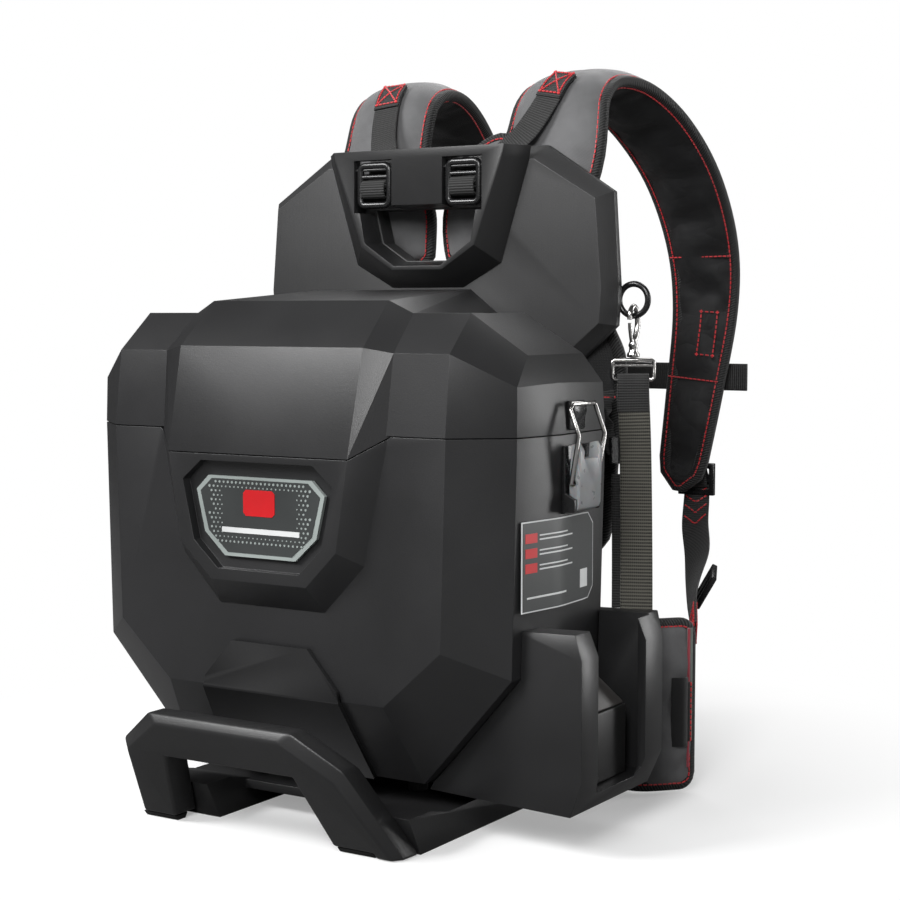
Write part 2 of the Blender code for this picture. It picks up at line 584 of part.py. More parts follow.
def make_buckle(name, y, z, right, left, half_height, half_thick):
    """A side-release buckle: the right half holds the left half's tongue."""
    mouth, wall = -14.0, 2.0
    female = block(f"{name}_buckle_female", (mouth, y - half_thick, z - half_height), (right, y + half_thick, z + half_height),
                   "buckle_plastic")
    cut(female, block(f"{name}_mouth", (mouth - 5, y - half_thick + wall, z - half_height + 4),
                      (mouth + 24, y + half_thick - wall, z + half_height - 4)))
    male = block(f"{name}_buckle_male", (-left, y - half_thick, z - half_height + 1),
                 (mouth - GAP, y + half_thick, z + half_height - 1), "buckle_plastic", pivot=(mouth, y, z))
    join(male, block(f"{name}_tongue", (mouth - 6, y - half_thick + wall + GAP, z - half_height + 6),
                     (mouth + 22, y + half_thick - wall - GAP, z + half_height - 6)))


def make_snap():
    """The hanging strap, its eye, and the snap hook clipped to the harness ring."""
    cx, cy, cz = RING_CENTRE
    loop = [(cx + RING_RADIUS * c, cy, cz + RING_RADIUS * s) for c, s in ring_section(1.0, 16)]
    swept("harness_ring", loop, ring_section(2.5, 8), "buckle_plastic", across=[(0, 1, 0)] * 16, closed=True)
    spine = smooth([(cy, 374), (cy + 4.5, 380), (cy + 7.6, 389), (cy + 6, 399.5), (cy, 403.8), (cy - 6, 399), (cy - 7, 393)], 3)
    hook = swept("snap_hook", [(cx, y, z) for y, z in spine], ring_section(2.3, 8), "steel", across=[(1, 0, 0)] * len(spine),
                 pivot=(cx, cy, EYE_Z))
    barrel = [[(cx + r * c, cy + r * s, z) for c, s in ring_section(1.0, 12)] for r, z in ((5.2, 362.6), (3.0, 371), (2.6, 376))]
    join(hook, loft("snap_barrel", barrel))
    gx, gy, gz = GATE_PIVOT
    cut(hook, block("gate_room", (gx - 3, gy - 6, gz - 2.2), (gx + 3, gy + 1.2, gz + 4)))
    swept("snap_gate", [(gx, gy - 0.8, gz + 0.5), (gx, cy - 6.6, 390.2)], ring_section(1.5, 8), "steel",
          across=[(1, 0, 0)] * 2, pivot=GATE_PIVOT)
    facing = Vector((0.85, 0.53, 0))
    half, rise = 17.0, 8.0
    corners = [(half - 4, -rise), (half, -rise + 4), (half, rise - 4), (half - 4, rise), (4 - half, rise), (-half, rise - 4),
               (-half, 4 - rise), (4 - half, -rise)]
    eye = [Vector((cx, cy, EYE_Z)) + facing * a + Vector((0, 0, b)) for a, b in corners]
    swept("snap_eye", eye, ring_section(1.7, 8), "steel", across=[(0.53, -0.85, 0)] * 8, closed=True)
    route = smooth([(cx, cy, EYE_Z - rise - 3), (190, 262, 290), (201, 243, 220), (211, 224, 150), (212, 220, 112)], 4)
    swept("hanging_strap", route, flat_section(26, 2.4), "webbing", across=[facing] * len(route))


# ---------------------------------------------------------------- the object

def main():
    clear_scene()
    make_lower_case()
    make_lid()
    make_gasket()
    make_case_front()
    make_pocket()
    make_insides()
    make_back_frame()
    make_carry_handle()
    make_stand()
    block("foot_rear", (-104, 246, 0), (104, 262, 5.6), "rubber")
    for side, sign in SIDES:
        make_latch(side, sign)
        make_ladder_lock(side, sign)
    make_pads()
    make_straps()
    make_snap()


main()
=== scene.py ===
"""Looks for a backpack battery power unit: its moulded case, frame and stand, and the padded harness."""

import logging
import math
from collections.abc import Callable, Iterable, Sequence
from dataclasses import dataclass, field
from enum import Enum

import bmesh
import bpy
import numpy as np
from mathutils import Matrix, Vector

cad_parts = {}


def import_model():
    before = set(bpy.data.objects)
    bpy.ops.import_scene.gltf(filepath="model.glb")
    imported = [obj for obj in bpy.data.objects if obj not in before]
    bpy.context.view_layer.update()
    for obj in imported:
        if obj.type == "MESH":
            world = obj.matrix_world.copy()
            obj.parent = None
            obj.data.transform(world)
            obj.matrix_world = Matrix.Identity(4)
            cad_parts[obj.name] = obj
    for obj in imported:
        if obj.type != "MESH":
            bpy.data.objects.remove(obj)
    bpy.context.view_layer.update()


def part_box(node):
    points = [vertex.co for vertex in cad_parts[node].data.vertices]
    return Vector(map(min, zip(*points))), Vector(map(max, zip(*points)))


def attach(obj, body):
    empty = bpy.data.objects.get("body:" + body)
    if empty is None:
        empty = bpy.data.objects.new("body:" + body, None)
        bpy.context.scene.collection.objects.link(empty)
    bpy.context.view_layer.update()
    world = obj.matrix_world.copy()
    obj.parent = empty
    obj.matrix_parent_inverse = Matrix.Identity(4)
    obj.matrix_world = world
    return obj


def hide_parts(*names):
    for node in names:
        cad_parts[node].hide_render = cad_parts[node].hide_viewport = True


log = logging.getLogger("power_unit")

MM = 0.001
WAVE_UNIT = 20      # a wave texture of scale 1 shows 20 / (2 pi) bands to a unit
SMALL = 1e-9
Colour = tuple[float, float, float]
Point = tuple[float, float, float]
Pair = tuple[float, float]
Line = Sequence[Vector]
Mesh = bpy.types.Mesh
Piece = bpy.types.Object
Socket = bpy.types.NodeSocket


class Side(Enum):
    """The two sides of the unit, as the sign of X."""

    LEFT = -1
    RIGHT = 1

    @property
    def tag(self) -> str:
        """The side's name in node and body names."""
        return self.name.lower()


class Weave(Enum):
    """How a fabric is woven, which sets its bump."""

    PLAIN = "plain"
    RIBBED = "ribbed"
    TWILL = "twill"
    MESH = "mesh"


# ---------------------------------------------------------------- shaders

class Shader:
    """A material under construction around one Principled shader."""

    def __init__(self, name: str, **sockets: object) -> None:
        """Starts a material.

        Args:
            name: the material's name.
            sockets: constant values for the shader's own sockets, with _ for spaces.
        """
        self.material = bpy.data.materials.new(name)
        self.material.use_nodes = True
        self.tree = self.material.node_tree
        self.surface = next(n for n in self.tree.nodes if n.type == "BSDF_PRINCIPLED")
        for socket, value in sockets.items():
            self.surface.inputs[socket.replace("_", " ")].default_value = value
        self.place = self.add("ShaderNodeTexCoord").outputs["Object"]
        self.layout = self.add("ShaderNodeTexCoord").outputs["UV"]

    def add(self, kind: str, **settings: object) -> bpy.types.Node:
        """Adds a node and sets its properties.

        Args:
            kind: the node's type.
            settings: the properties to set.

        Returns:
            The node.
        """
        node = self.tree.nodes.new(kind)
        for key, value in settings.items():
            setattr(node, key, value)
        return node

    def feed(self, node: bpy.types.Node, *values: object) -> bpy.types.Node:
        """Fills a node's inputs in order.

        Args:
            node: the node.
            values: for each input a socket to link, a constant, or None to leave it.

        Returns:
            The node.
        """
        for socket, value in zip(node.inputs, values):
            if isinstance(value, Socket):
                self.tree.links.new(value, socket)
            elif value is not None:
                socket.default_value = value
        return node

    def wire(self, socket: str, value: Socket) -> None:
        """Links a value to one of the shader's own sockets."""
        self.tree.links.new(value, self.surface.inputs[socket])

    def math(self, kind: str, *values: object) -> Socket:
        """A Math node's result."""
        return self.feed(self.add("ShaderNodeMath", operation=kind), *values).outputs[0]

    def mapped(self, scale: Point, turn: float = 0.0, uv: bool = False) -> Socket:
        """Coordinates scaled, and turned about Z.

        Args:
            scale: the scale on each axis.
            turn: the turn in radians.
            uv: whether to map the UV map and not the object's own space.

        Returns:
            The coordinates.
        """
        node = self.add("ShaderNodeMapping")
        source = self.layout if uv else self.place
        return self.feed(node, source, None, (0, 0, turn), scale).outputs[0]

    def noise(self, scale: float, detail: float = 2.0, vector: Socket | None = None) -> Socket:
        """A noise texture.

        Args:
            scale: its scale.
            detail: its detail.
            vector: its coordinates, or None for the object's own space.

        Returns:
            Its value.
        """
        node = self.add("ShaderNodeTexNoise")
        node.inputs["Scale"].default_value = scale
        node.inputs["Detail"].default_value = detail
        self.tree.links.new(vector or self.place, node.inputs["Vector"])
        return node.outputs["Fac"]

    def waves(self, vector: Socket, axis: str, scale: float) -> Socket:
        """Straight bands.

        Args:
            vector: their coordinates.
            axis: the axis that they follow one another along.
            scale: how many there are to a unit.

        Returns:
            The bands' height.
        """
        node = self.add("ShaderNodeTexWave", wave_type="BANDS", bands_direction=axis)
        node.inputs["Scale"].default_value = scale / WAVE_UNIT * math.pi * 2
        self.tree.links.new(vector, node.inputs["Vector"])
        return node.outputs["Fac"]

    def ramp(self, value: Socket, low: float, high: float, first: Colour, last: Colour) -> Socket:
        """A colour that follows a value.

        Args:
            value: the value.
            low: where the first colour ends.
            high: where the last colour starts.
            first: the first colour.
            last: the last colour.

        Returns:
            The colour.
        """
        node = self.add("ShaderNodeValToRGB")
        self.tree.links.new(value, node.inputs[0])
        for element, place, colour in zip(node.color_ramp.elements, (low, high), (first, last)):
            element.position = place
            element.color = (*colour, 1)
        return node.outputs[0]

    def span(self, value: Socket, low: float, high: float) -> Socket:
        """A value from 0 to 1, carried to the range low to high."""
        node = self.add("ShaderNodeMapRange")
        return self.feed(node, value, 0.0, 1.0, low, high).outputs[0]

    def blend(self, first: Socket, second: Socket, share: float) -> Socket:
        """The first value in a share, and the second in the rest."""
        return self.math("ADD", self.math("MULTIPLY", first, share), self.math("MULTIPLY", second, 1 - share))

    def emboss(self, *layers: tuple[Socket, float, float]) -> None:
        """Stacks bumps on the surface.

        Args:
            layers: for each bump its height, its strength and its depth in metres.
        """
        normal = None
        for height, strength, depth in layers:
            node = self.add("ShaderNodeBump")
            node.inputs["Strength"].default_value = strength
            node.inputs["Distance"].default_value = depth
            self.tree.links.new(height, node.inputs["Height"])
            if normal:
                self.tree.links.new(normal, node.inputs["Normal"])
            normal = node.outputs[0]
        self.wire("Normal", normal)


_made: dict[str, bpy.types.Material] = {}


@dataclass(frozen=True)
class Finish:
    """A named finish and the record's material slot that it belongs to."""

    name: str
    slot: str
    colour: Colour
    roughness: float = 0.5

    def material(self) -> bpy.types.Material:
        """The finish's material, made once."""
        if self.name not in _made:
            _made[self.name] = self.build()
        return _made[self.name]

    def build(self) -> bpy.types.Material:
        """Makes the material."""
        return Shader(self.name, Base_Color=(*self.colour, 1), Roughness=self.roughness).material

    def worn(self, shader: Shader, spread: float, scale: float = 9.0) -> None:
        """Varies the base colour over the surface.

        Args:
            shader: the material under construction.
            spread: how far the colour goes each way, as a share of it.
            scale: the scale of the patches.
        """
        low = tuple(c * (1 - spread) for c in self.colour)
        high = tuple(min(1.0, c * (1 + spread)) for c in self.colour)
        shader.wire("Base Color", shader.ramp(shader.noise(scale, 5.0), 0.3, 0.7, low, high))


@dataclass(frozen=True)
class Plastic(Finish):
    """Moulded plastic with a fine grain, and a drawn grain along Z where streak is set.

    Attributes:
        grain: the grain's depth, in metres.
        pitch: its size, in metres.
        streak: the drawn grain's depth, in metres.
        specular: the surface's specular level.
    """

    grain: float = 0.00018
    pitch: float = 0.0011
    streak: float = 0.0
    specular: float = 0.5

    def build(self) -> bpy.types.Material:
        """Makes the material."""
        shader = Shader(self.name, Specular_IOR_Level=self.specular)
        self.worn(shader, 0.22)
        fine = shader.noise(1 / self.pitch, 3.0)
        smudge = shader.noise(14.0, 4.0)
        layers = [(fine, 0.35, self.grain)]
        if self.streak:
            lines = shader.noise(1.0, 3.0, shader.mapped((900, 900, 28)))
            layers.append((lines, 0.5, self.streak))
        spread = shader.blend(fine, smudge, 0.5)
        shader.wire("Roughness", shader.span(spread, self.roughness - 0.13, self.roughness + 0.13))
        shader.emboss(*layers)
        return shader.material


@dataclass(frozen=True)
class Clear(Finish):
    """A translucent moulded plastic."""

    def build(self) -> bpy.types.Material:
        """Makes the material."""
        shader = Shader(self.name, Transmission_Weight=0.35, IOR=1.48, Subsurface_Weight=0.2,
                        Subsurface_Scale=0.004)
        self.worn(shader, 0.15, 60.0)
        patches = shader.noise(120.0, 2.0)
        shader.wire("Roughness", shader.span(patches, self.roughness - 0.08, self.roughness + 0.08))
        shader.emboss((shader.noise(700.0, 2.0), 0.2, 0.0001))
        return shader.material


@dataclass(frozen=True)
class Metal(Finish):
    """Bright plated metal with fine scuffs."""

    def build(self) -> bpy.types.Material:
        """Makes the material."""
        shader = Shader(self.name, Metallic=1.0)
        self.worn(shader, 0.08, 90.0)
        scuffs = shader.noise(240.0, 4.0)
        shader.wire("Roughness", shader.span(scuffs, self.roughness - 0.07, self.roughness + 0.1))
        shader.emboss((shader.noise(900.0, 2.0), 0.15, 0.00005))
        return shader.material


@dataclass(frozen=True)
class Cloth(Finish):
    """A woven fabric, its threads laid by the piece's UV map, which is in metres.

    Attributes:
        thread: the distance from one thread to the next, in metres.
        weave: how it is woven.
        depth: the depth of the weave, in metres.
        sheen: how much it shines at a glancing angle.
        drift: how far its colour goes each way, as painted shade from the weave and as random patches.
        show: how much of that is painted shade that follows the weave's height, darker in its grooves and
            lighter on its ridges, and not random patches.
        crease: the depth of its folds, in metres.
    """

    thread: float = 0.0006
    weave: Weave = Weave.PLAIN
    depth: float = 0.00018
    sheen: float = 0.25
    drift: float = 0.16
    show: float = 0.45
    crease: float = 0.0

    def build(self) -> bpy.types.Material:
        """Makes the material."""
        shader = Shader(self.name, Sheen_Weight=self.sheen, Sheen_Roughness=0.45, Specular_IOR_Level=0.3)
        count = 1 / self.thread
        flat = shader.mapped((1, 1, 1), uv=True)
        if self.weave is Weave.RIBBED:
            rib = shader.waves(flat, "Y", count)
            fibre = shader.waves(flat, "X", count * 1.6)
            height = shader.math("ADD", rib, shader.math("MULTIPLY", fibre, 0.35))
        elif self.weave is Weave.TWILL:
            height = shader.waves(shader.mapped((1, 1, 1), math.radians(28), uv=True), "Y", count)
        elif self.weave is Weave.MESH:
            cells = shader.add("ShaderNodeTexVoronoi", feature="DISTANCE_TO_EDGE")
            shader.tree.links.new(flat, cells.inputs["Vector"])
            cells.inputs["Scale"].default_value = count
            cells.inputs["Randomness"].default_value = 0.25
            height = shader.math("MULTIPLY", cells.outputs[0], 2.0)
        else:
            height = shader.math("MULTIPLY", shader.waves(flat, "X", count), shader.waves(flat, "Y", count))
        swing = 2.2 * self.drift
        dark = tuple(c * max(0.1, 1 - swing) for c in self.colour)
        light = tuple(min(1.0, c * (1 + swing)) for c in self.colour)
        blotch = shader.noise(55.0, 5.0)
        # Painted shade: the colour follows the weave's height, darker in its grooves and lighter on its
        # ridges, blended with random patches.
        shade_and_patches = shader.blend(height, blotch, self.show)
        shader.wire("Base Color", shader.ramp(shade_and_patches, 0.2, 0.8, dark, light))
        shader.wire("Roughness", shader.span(blotch, self.roughness - 0.08, self.roughness + 0.08))
        layers = [(height, 0.55, self.depth), (shader.noise(240.0, 3.0), 0.18, 0.0003)]
        if self.crease:
            folds = shader.noise(1.0, 2.0, shader.mapped((9, 34, 1), uv=True))
            ridge = shader.math("ABSOLUTE", shader.math("SUBTRACT", folds, 0.5))
            layers.append((shader.math("POWER", ridge, 0.8), 0.9, self.crease))
        shader.emboss(*layers)
        return shader.material


@dataclass(frozen=True)
class Thread(Finish):
    """Twisted sewing thread."""

    def build(self) -> bpy.types.Material:
        """Makes the material."""
        shader = Shader(self.name, Sheen_Weight=0.3, Roughness=self.roughness)
        self.worn(shader, 0.3, 420.0)
        shader.emboss((shader.noise(2600.0, 2.0), 0.5, 0.00008))
        return shader.material


CASE = Plastic("case black", "case_plastic", (0.0125, 0.0125, 0.0132), 0.40)
CASE_SMOOTH = Plastic("case trim black", "case_plastic", (0.010, 0.010, 0.0105), 0.34, grain=0.0001)
# Painted shade: the hatch's colour is a darker copy of the case black, to keep its face dark; it is also
# rougher and duller.
HATCH_SHADED = Plastic("hatch black shaded", "case_plastic", (0.007, 0.007, 0.0074), 0.7, grain=0.0001, specular=0.2)
POCKET = Plastic("dock housing black", "case_plastic", (0.0115, 0.0115, 0.012), 0.36, grain=0.0001)
STAND = Plastic("stand black", "case_plastic", (0.012, 0.012, 0.0125), 0.42, grain=0.00025, pitch=0.0015)
FRAME = Plastic("frame grained black", "frame_plastic", (0.020, 0.020, 0.0205), 0.46, streak=0.00022)
CROWN = Plastic("crown black", "frame_plastic", (0.0125, 0.0125, 0.013), 0.38)
BUCKLE = Plastic("acetal black", "buckle_plastic", (0.008, 0.008, 0.0085), 0.28, grain=0.00006)
DOCK = Plastic("dock grey brown", "dock_plastic", (0.045, 0.042, 0.040), 0.5)
BLOCK = Plastic("dock block black", "dock_plastic", (0.012, 0.012, 0.012), 0.42)
RUBBER = Plastic("rubber", "rubber", (0.012, 0.012, 0.012), 0.72, grain=0.0003, specular=0.3)
CELLS = Plastic("battery grey", "battery", (0.05, 0.05, 0.055), 0.5)
BOARD = Plastic("board green", "board", (0.01, 0.06, 0.025), 0.4)
LEVER = Clear("lever smoke", "lever_plastic", (0.40, 0.41, 0.42), 0.3)
CHROME = Metal("nickel plate", "steel", (0.50, 0.49, 0.48), 0.2)
SHELL = Cloth("shell grey", "pad_grey", (0.115, 0.115, 0.118), 0.6, thread=0.0007, sheen=0.35, crease=0.0012)
LINING = Cloth("lining charcoal", "pad_grey", (0.0095, 0.0095, 0.0102), 0.55, sheen=0.05, crease=0.0022)
PADDING = Cloth("spacer mesh", "pad_black", (0.014, 0.014, 0.0145), 0.8, 0.0022, Weave.MESH, 0.0006)
BINDING = Cloth("binding black", "pad_grey", (0.014, 0.014, 0.014), 0.6, 0.0021, Weave.TWILL, 0.0008,
                sheen=0.1, drift=0.4, show=0.85)
WEBBING = Cloth("webbing black", "webbing", (0.016, 0.016, 0.016), 0.6, 0.0021, Weave.RIBBED, 0.0007,
                sheen=0.1, drift=0.38, show=0.7)
OLIVE = Cloth("webbing olive grey", "webbing", (0.052, 0.050, 0.042), 0.68, 0.0027, Weave.RIBBED, 0.0009,
              sheen=0.15, drift=0.42, show=0.75)
ELASTIC = Cloth("elastic black", "webbing", (0.010, 0.010, 0.0105), 0.75, 0.0009, Weave.RIBBED, 0.0003)
REFLECTIVE = Cloth("edge strip grey green", "pad_grey", (0.16, 0.19, 0.17), 0.5, thread=0.0007)
PRINT = Plastic("badge print dark", "badge", (0.035, 0.038, 0.038), 0.34, grain=0.00004)
BORDER = Plastic("badge print pale", "badge", (0.26, 0.29, 0.28), 0.4, grain=0.00004)
SIGNAL = Plastic("badge print red", "badge", (0.55, 0.008, 0.012), 0.35, grain=0.00004)
PALE = Plastic("badge print white", "badge", (0.62, 0.63, 0.63), 0.4, grain=0.00004)
RED = Thread("red thread", "webbing", (0.50, 0.008, 0.014), 0.55)
BLACK = Thread("black thread", "pad_black", (0.012, 0.012, 0.012), 0.6)
ROSE = Cloth("piping rose", "pad_grey", (0.30, 0.045, 0.06), 0.6, thread=0.0009)


# ---------------------------------------------------------------- meshes

def finished(
    name: str, mesh: Mesh, finishes: Sequence[Finish], body: str, nodes: Iterable[str] = (),
    angle: float = 35.0,
) -> Piece:
    """Links a mesh as a piece that rides on a body.

    Args:
        name: the piece's name.
        mesh: its mesh, already in place.
        finishes: its finishes, in the order of its material indices.
        body: the body it moves with.
        nodes: the solids it stands for.
        angle: edges sharper than this many degrees stay sharp.

    Returns:
        The piece.
    """
    piece = bpy.data.objects.new(name, mesh)
    bpy.context.scene.collection.objects.link(piece)
    marks = np.zeros(len(mesh.polygons), np.int32)
    mesh.polygons.foreach_get("material_index", marks)
    mesh.materials.clear()
    for finish in finishes:
        mesh.materials.append(finish.material())
    mesh.polygons.foreach_set("material_index", np.minimum(marks, len(finishes) - 1))
    mesh.shade_smooth()
    mesh.set_sharp_from_angle(angle=math.radians(angle))
    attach(piece, body)
    if nodes:
        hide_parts(*nodes)
    log.info("%s: %d faces on %s", name, len(mesh.polygons), body)
    return piece


def plain_copy(piece: Piece) -> Mesh:
    """Applies a piece's modifiers.

    Args:
        piece: the piece, which is removed.

    Returns:
        The mesh it had with its modifiers.
    """
    graph = bpy.context.evaluated_depsgraph_get()
    mesh = bpy.data.meshes.new_from_object(piece.evaluated_get(graph))
    mesh.name = piece.name
    bpy.data.objects.remove(piece)
    return mesh


def scratch(mesh: Mesh) -> Piece:
    """An object linked for modifiers to hang on.

    Args:
        mesh: its mesh.

    Returns:
        The object.
    """
    piece = bpy.data.objects.new(mesh.name, mesh)
    bpy.context.scene.collection.objects.link(piece)
    return piece


@dataclass
class Grid:
    """Rows of points that each close on themselves, joined as a tube with a UV map in metres.

    Attributes:
        rows: the points, every row as long as the first.
        looped: whether the last row joins the first.
        pick: the material index of the face after point k of row i, if there are several.
    """

    rows: Sequence[Line]
    looped: bool = False
    pick: Callable[[int, int], int] | None = None

    def mesh(self, name: str) -> Mesh:
        """Joins the rows, and fills the first and last if the tube has ends.

        Args:
            name: the mesh's name.

        Returns:
            The mesh, its normals pointing out.
        """
        count = len(self.rows[0])
        flat = [p for row in self.rows for p in row]
        coords = np.array([tuple(p) for p in flat]).reshape(len(self.rows), count, 3)
        step_v = np.linalg.norm(np.diff(coords, axis=0), axis=2).mean(axis=1)
        v = np.concatenate([[0.0], np.cumsum(step_v)])
        around = np.concatenate([coords, coords[:, :1]], axis=1)
        u = np.concatenate([[0.0], np.cumsum(np.linalg.norm(np.diff(around, axis=1), axis=2).max(axis=0))])
        u -= u[-1] / 2
        bm = bmesh.new()
        verts = [bm.verts.new(p) for p in flat]
        layer = bm.loops.layers.uv.new("UVMap")
        turns = len(self.rows) if self.looped else len(self.rows) - 1
        for i in range(turns):
            j = (i + 1) % len(self.rows)
            for k in range(count):
                m = (k + 1) % count
                face = bm.faces.new([verts[a * count + b] for a, b in ((i, k), (i, m), (j, m), (j, k))])
                far = v[i + 1] if j else v[i] + v[1]
                for loop, place in zip(face.loops, ((k, v[i]), (k + 1, v[i]), (k + 1, far), (k, far))):
                    loop[layer].uv = (u[place[0]], place[1])
                if self.pick:
                    face.material_index = self.pick(i, k)
        if not self.looped:
            for first in (0, len(self.rows) - 1):
                bm.faces.new(verts[first * count:(first + 1) * count])
        bmesh.ops.recalc_face_normals(bm, faces=bm.faces)
        mesh = bpy.data.meshes.new(name)
        bm.to_mesh(mesh)
        bm.free()
        return mesh


def curve_through(points: Sequence[Sequence[float]], steps: int) -> list[tuple[float, ...]]:
    """A Catmull-Rom curve through stops of any dimension.

    Args:
        points: the stops.
        steps: how many parts each span is cut into.

    Returns:
        The curve's points, the stops among them.
    """
    known = np.array(points, float)
    ends = np.vstack([2 * known[0] - known[1], known, 2 * known[-1] - known[-2]])
    found = []
    for a, b, c, d in zip(ends, ends[1:], ends[2:], ends[3:]):
        for t in np.arange(steps) / steps:
            square, cube = (2 * a - 5 * b + 4 * c - d) * t**2, (3 * b - a - 3 * c + d) * t**3
            found.append(tuple(0.5 * (2 * b + (c - a) * t + square + cube)))
    return [*found, tuple(known[-1])]


@dataclass
class Track:
    """A route with its own axes: along it, across it and up from it."""

    points: list[Vector]
    across: list[Vector]
    along: list[Vector] = field(default_factory=list)
    up: list[Vector] = field(default_factory=list)

    def __post_init__(self) -> None:
        """Squares the across directions to the route."""
        last = len(self.points) - 1
        for i, point in enumerate(self.points):
            way = (self.points[min(i + 1, last)] - self.points[max(i - 1, 0)]).normalized()
            wide = (self.across[i] - way * self.across[i].dot(way)).normalized()
            self.across[i] = wide
            self.along.append(way)
            self.up.append(way.cross(wide))

    @classmethod
    def of(cls, points: Line, across: Sequence[Sequence[float]] | Sequence[float]) -> "Track":
        """Makes a track.

        Args:
            points: the route.
            across: its across direction, or one for each point.

        Returns:
            The track.
        """
        one = isinstance(across[0], (int, float))
        return cls(list(points), [Vector(across if one else across[i]) for i in range(len(points))])

    def spot(self, i: int, a: float, b: float) -> Vector:
        """The point a across and b up from stop i."""
        return self.points[i] + self.across[i] * a + self.up[i] * b

    def rows(self, section: Callable[[int], Sequence[Pair]]) -> list[list[Vector]]:
        """A section placed at every stop."""
        return [[self.spot(i, a, b) for a, b in section(i)] for i in range(len(self.points))]


def round_section(radius: float, sides: int) -> list[Pair]:
    """A circle as (across, up) pairs."""
    turns = np.linspace(0, 2 * math.pi, sides, endpoint=False)
    return [(radius * math.cos(t), radius * math.sin(t)) for t in turns]


def strap_section(width: float, thick: float) -> list[Pair]:
    """A flat strap with rounded selvedges.

    Args:
        width: its width.
        thick: its thickness.

    Returns:
        Its outline as (across, up) pairs.
    """
    w, t = width / 2, thick / 2
    flank = [(w - t, -t), (w - 0.3 * t, -0.7 * t), (w, 0), (w - 0.3 * t, 0.7 * t), (w - t, t)]
    middle = [w * s for s in (0.6, 0.2, -0.2, -0.6)]
    return [*flank, *((x, t) for x in middle), *((-x, -y) for x, y in flank), *((-x, -t) for x in middle)]


def plump(width: float, thick: float, edge: float, count: int, power: float = 2.6) -> list[Pair]:
    """A pad's section, with a crowned face on each side that meet at thin bound edges.

    Args:
        width: its width.
        thick: its thickness in the middle.
        edge: its thickness at the edges.
        count: the points across a face.
        power: how squarely the faces fall to the edges.

    Returns:
        Its outline as (across, up) pairs.
    """
    half = []
    for s in np.linspace(-1, 1, count):
        half.append((width / 2 * s, edge / 2 + (thick - edge) / 2 * (1 - abs(s) ** power)))
    return [*((x, -y) for x, y in half), *((x, y) for x, y in reversed(half))]


WELD = 2e-5           # corners closer than this, in metres, become one
FLAT = 1.2            # faces that meet at less than this many degrees become one


def bevelled(
    node: str, body: str, finish: Finish, width: float, segments: int = 3, angle: float = 24.0, name: str = ""
) -> Piece:
    """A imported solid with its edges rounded.

    Args:
        node: the solid.
        body: the body it moves with.
        finish: its finish.
        width: how far each rounding reaches from its edge, in millimetres.
        segments: faces across a rounding.
        angle: edges flatter than this many degrees are left alone.
        name: the piece's name, if not the solid's with _form.

    Returns:
        The piece.
    """
    source = bpy.data.objects[node]
    mesh = source.data.copy()
    mesh.name = name or f"{node}_form"
    bm = bmesh.new()
    bm.from_mesh(mesh)
    bmesh.ops.remove_doubles(bm, verts=bm.verts, dist=WELD)
    bmesh.ops.dissolve_limit(bm, angle_limit=math.radians(FLAT), verts=bm.verts, edges=bm.edges)
    bm.to_mesh(mesh)
    bm.free()
    piece = scratch(mesh)
    step = piece.modifiers.new("edges", "BEVEL")
    step.width = width * MM
    step.segments = segments
    step.limit_method = "ANGLE"
    step.angle_limit = math.radians(angle)
    step.harden_normals = False
    step = piece.modifiers.new("normals", "WEIGHTED_NORMAL")
    step.keep_sharp = True
    mesh = plain_copy(piece)
    return finished(mesh.name, mesh, [finish], body, [node], 50.0)


def wired(tree: bpy.types.NodeTree, *pairs: tuple[Socket, Socket]) -> None:
    """Links each pair of sockets in a node tree."""
    for source, target in pairs:
        tree.links.new(source, target)


def group_for(name: str, sizes: Iterable[str], coat: str) -> bpy.types.NodeTree:
    """Starts a Geometry Nodes tree that turns geometry into geometry.

    Args:
        name: the tree's name.
        sizes: the names of its number inputs.
        coat: the name of its material input.

    Returns:
        The tree, with its sockets and no nodes.
    """
    tree = bpy.data.node_groups.new(name, "GeometryNodeTree")
    kinds = [("Geometry", "Geometry"), *((size, "Float") for size in sizes), (coat, "Material")]
    for label, kind in kinds:
        tree.interface.new_socket(label, in_out="INPUT", socket_type=f"NodeSocket{kind}")
    tree.interface.new_socket("Geometry", in_out="OUTPUT", socket_type="NodeSocketGeometry")
    return tree


def laid(piece: Piece, tree: bpy.types.NodeTree, **values: object) -> Mesh:
    """Runs a Geometry Nodes tree on a piece.

    Args:
        piece: the piece, which is removed.
        tree: the tree.
        values: its inputs by name.

    Returns:
        The mesh that it makes.
    """
    step = piece.modifiers.new("nodes", "NODES")
    step.node_group = tree
    named = {s.name: s.identifier for s in tree.interface.items_tree if s.in_out == "INPUT"}
    for label, value in values.items():
        step[named[label]] = value
    return plain_copy(piece)


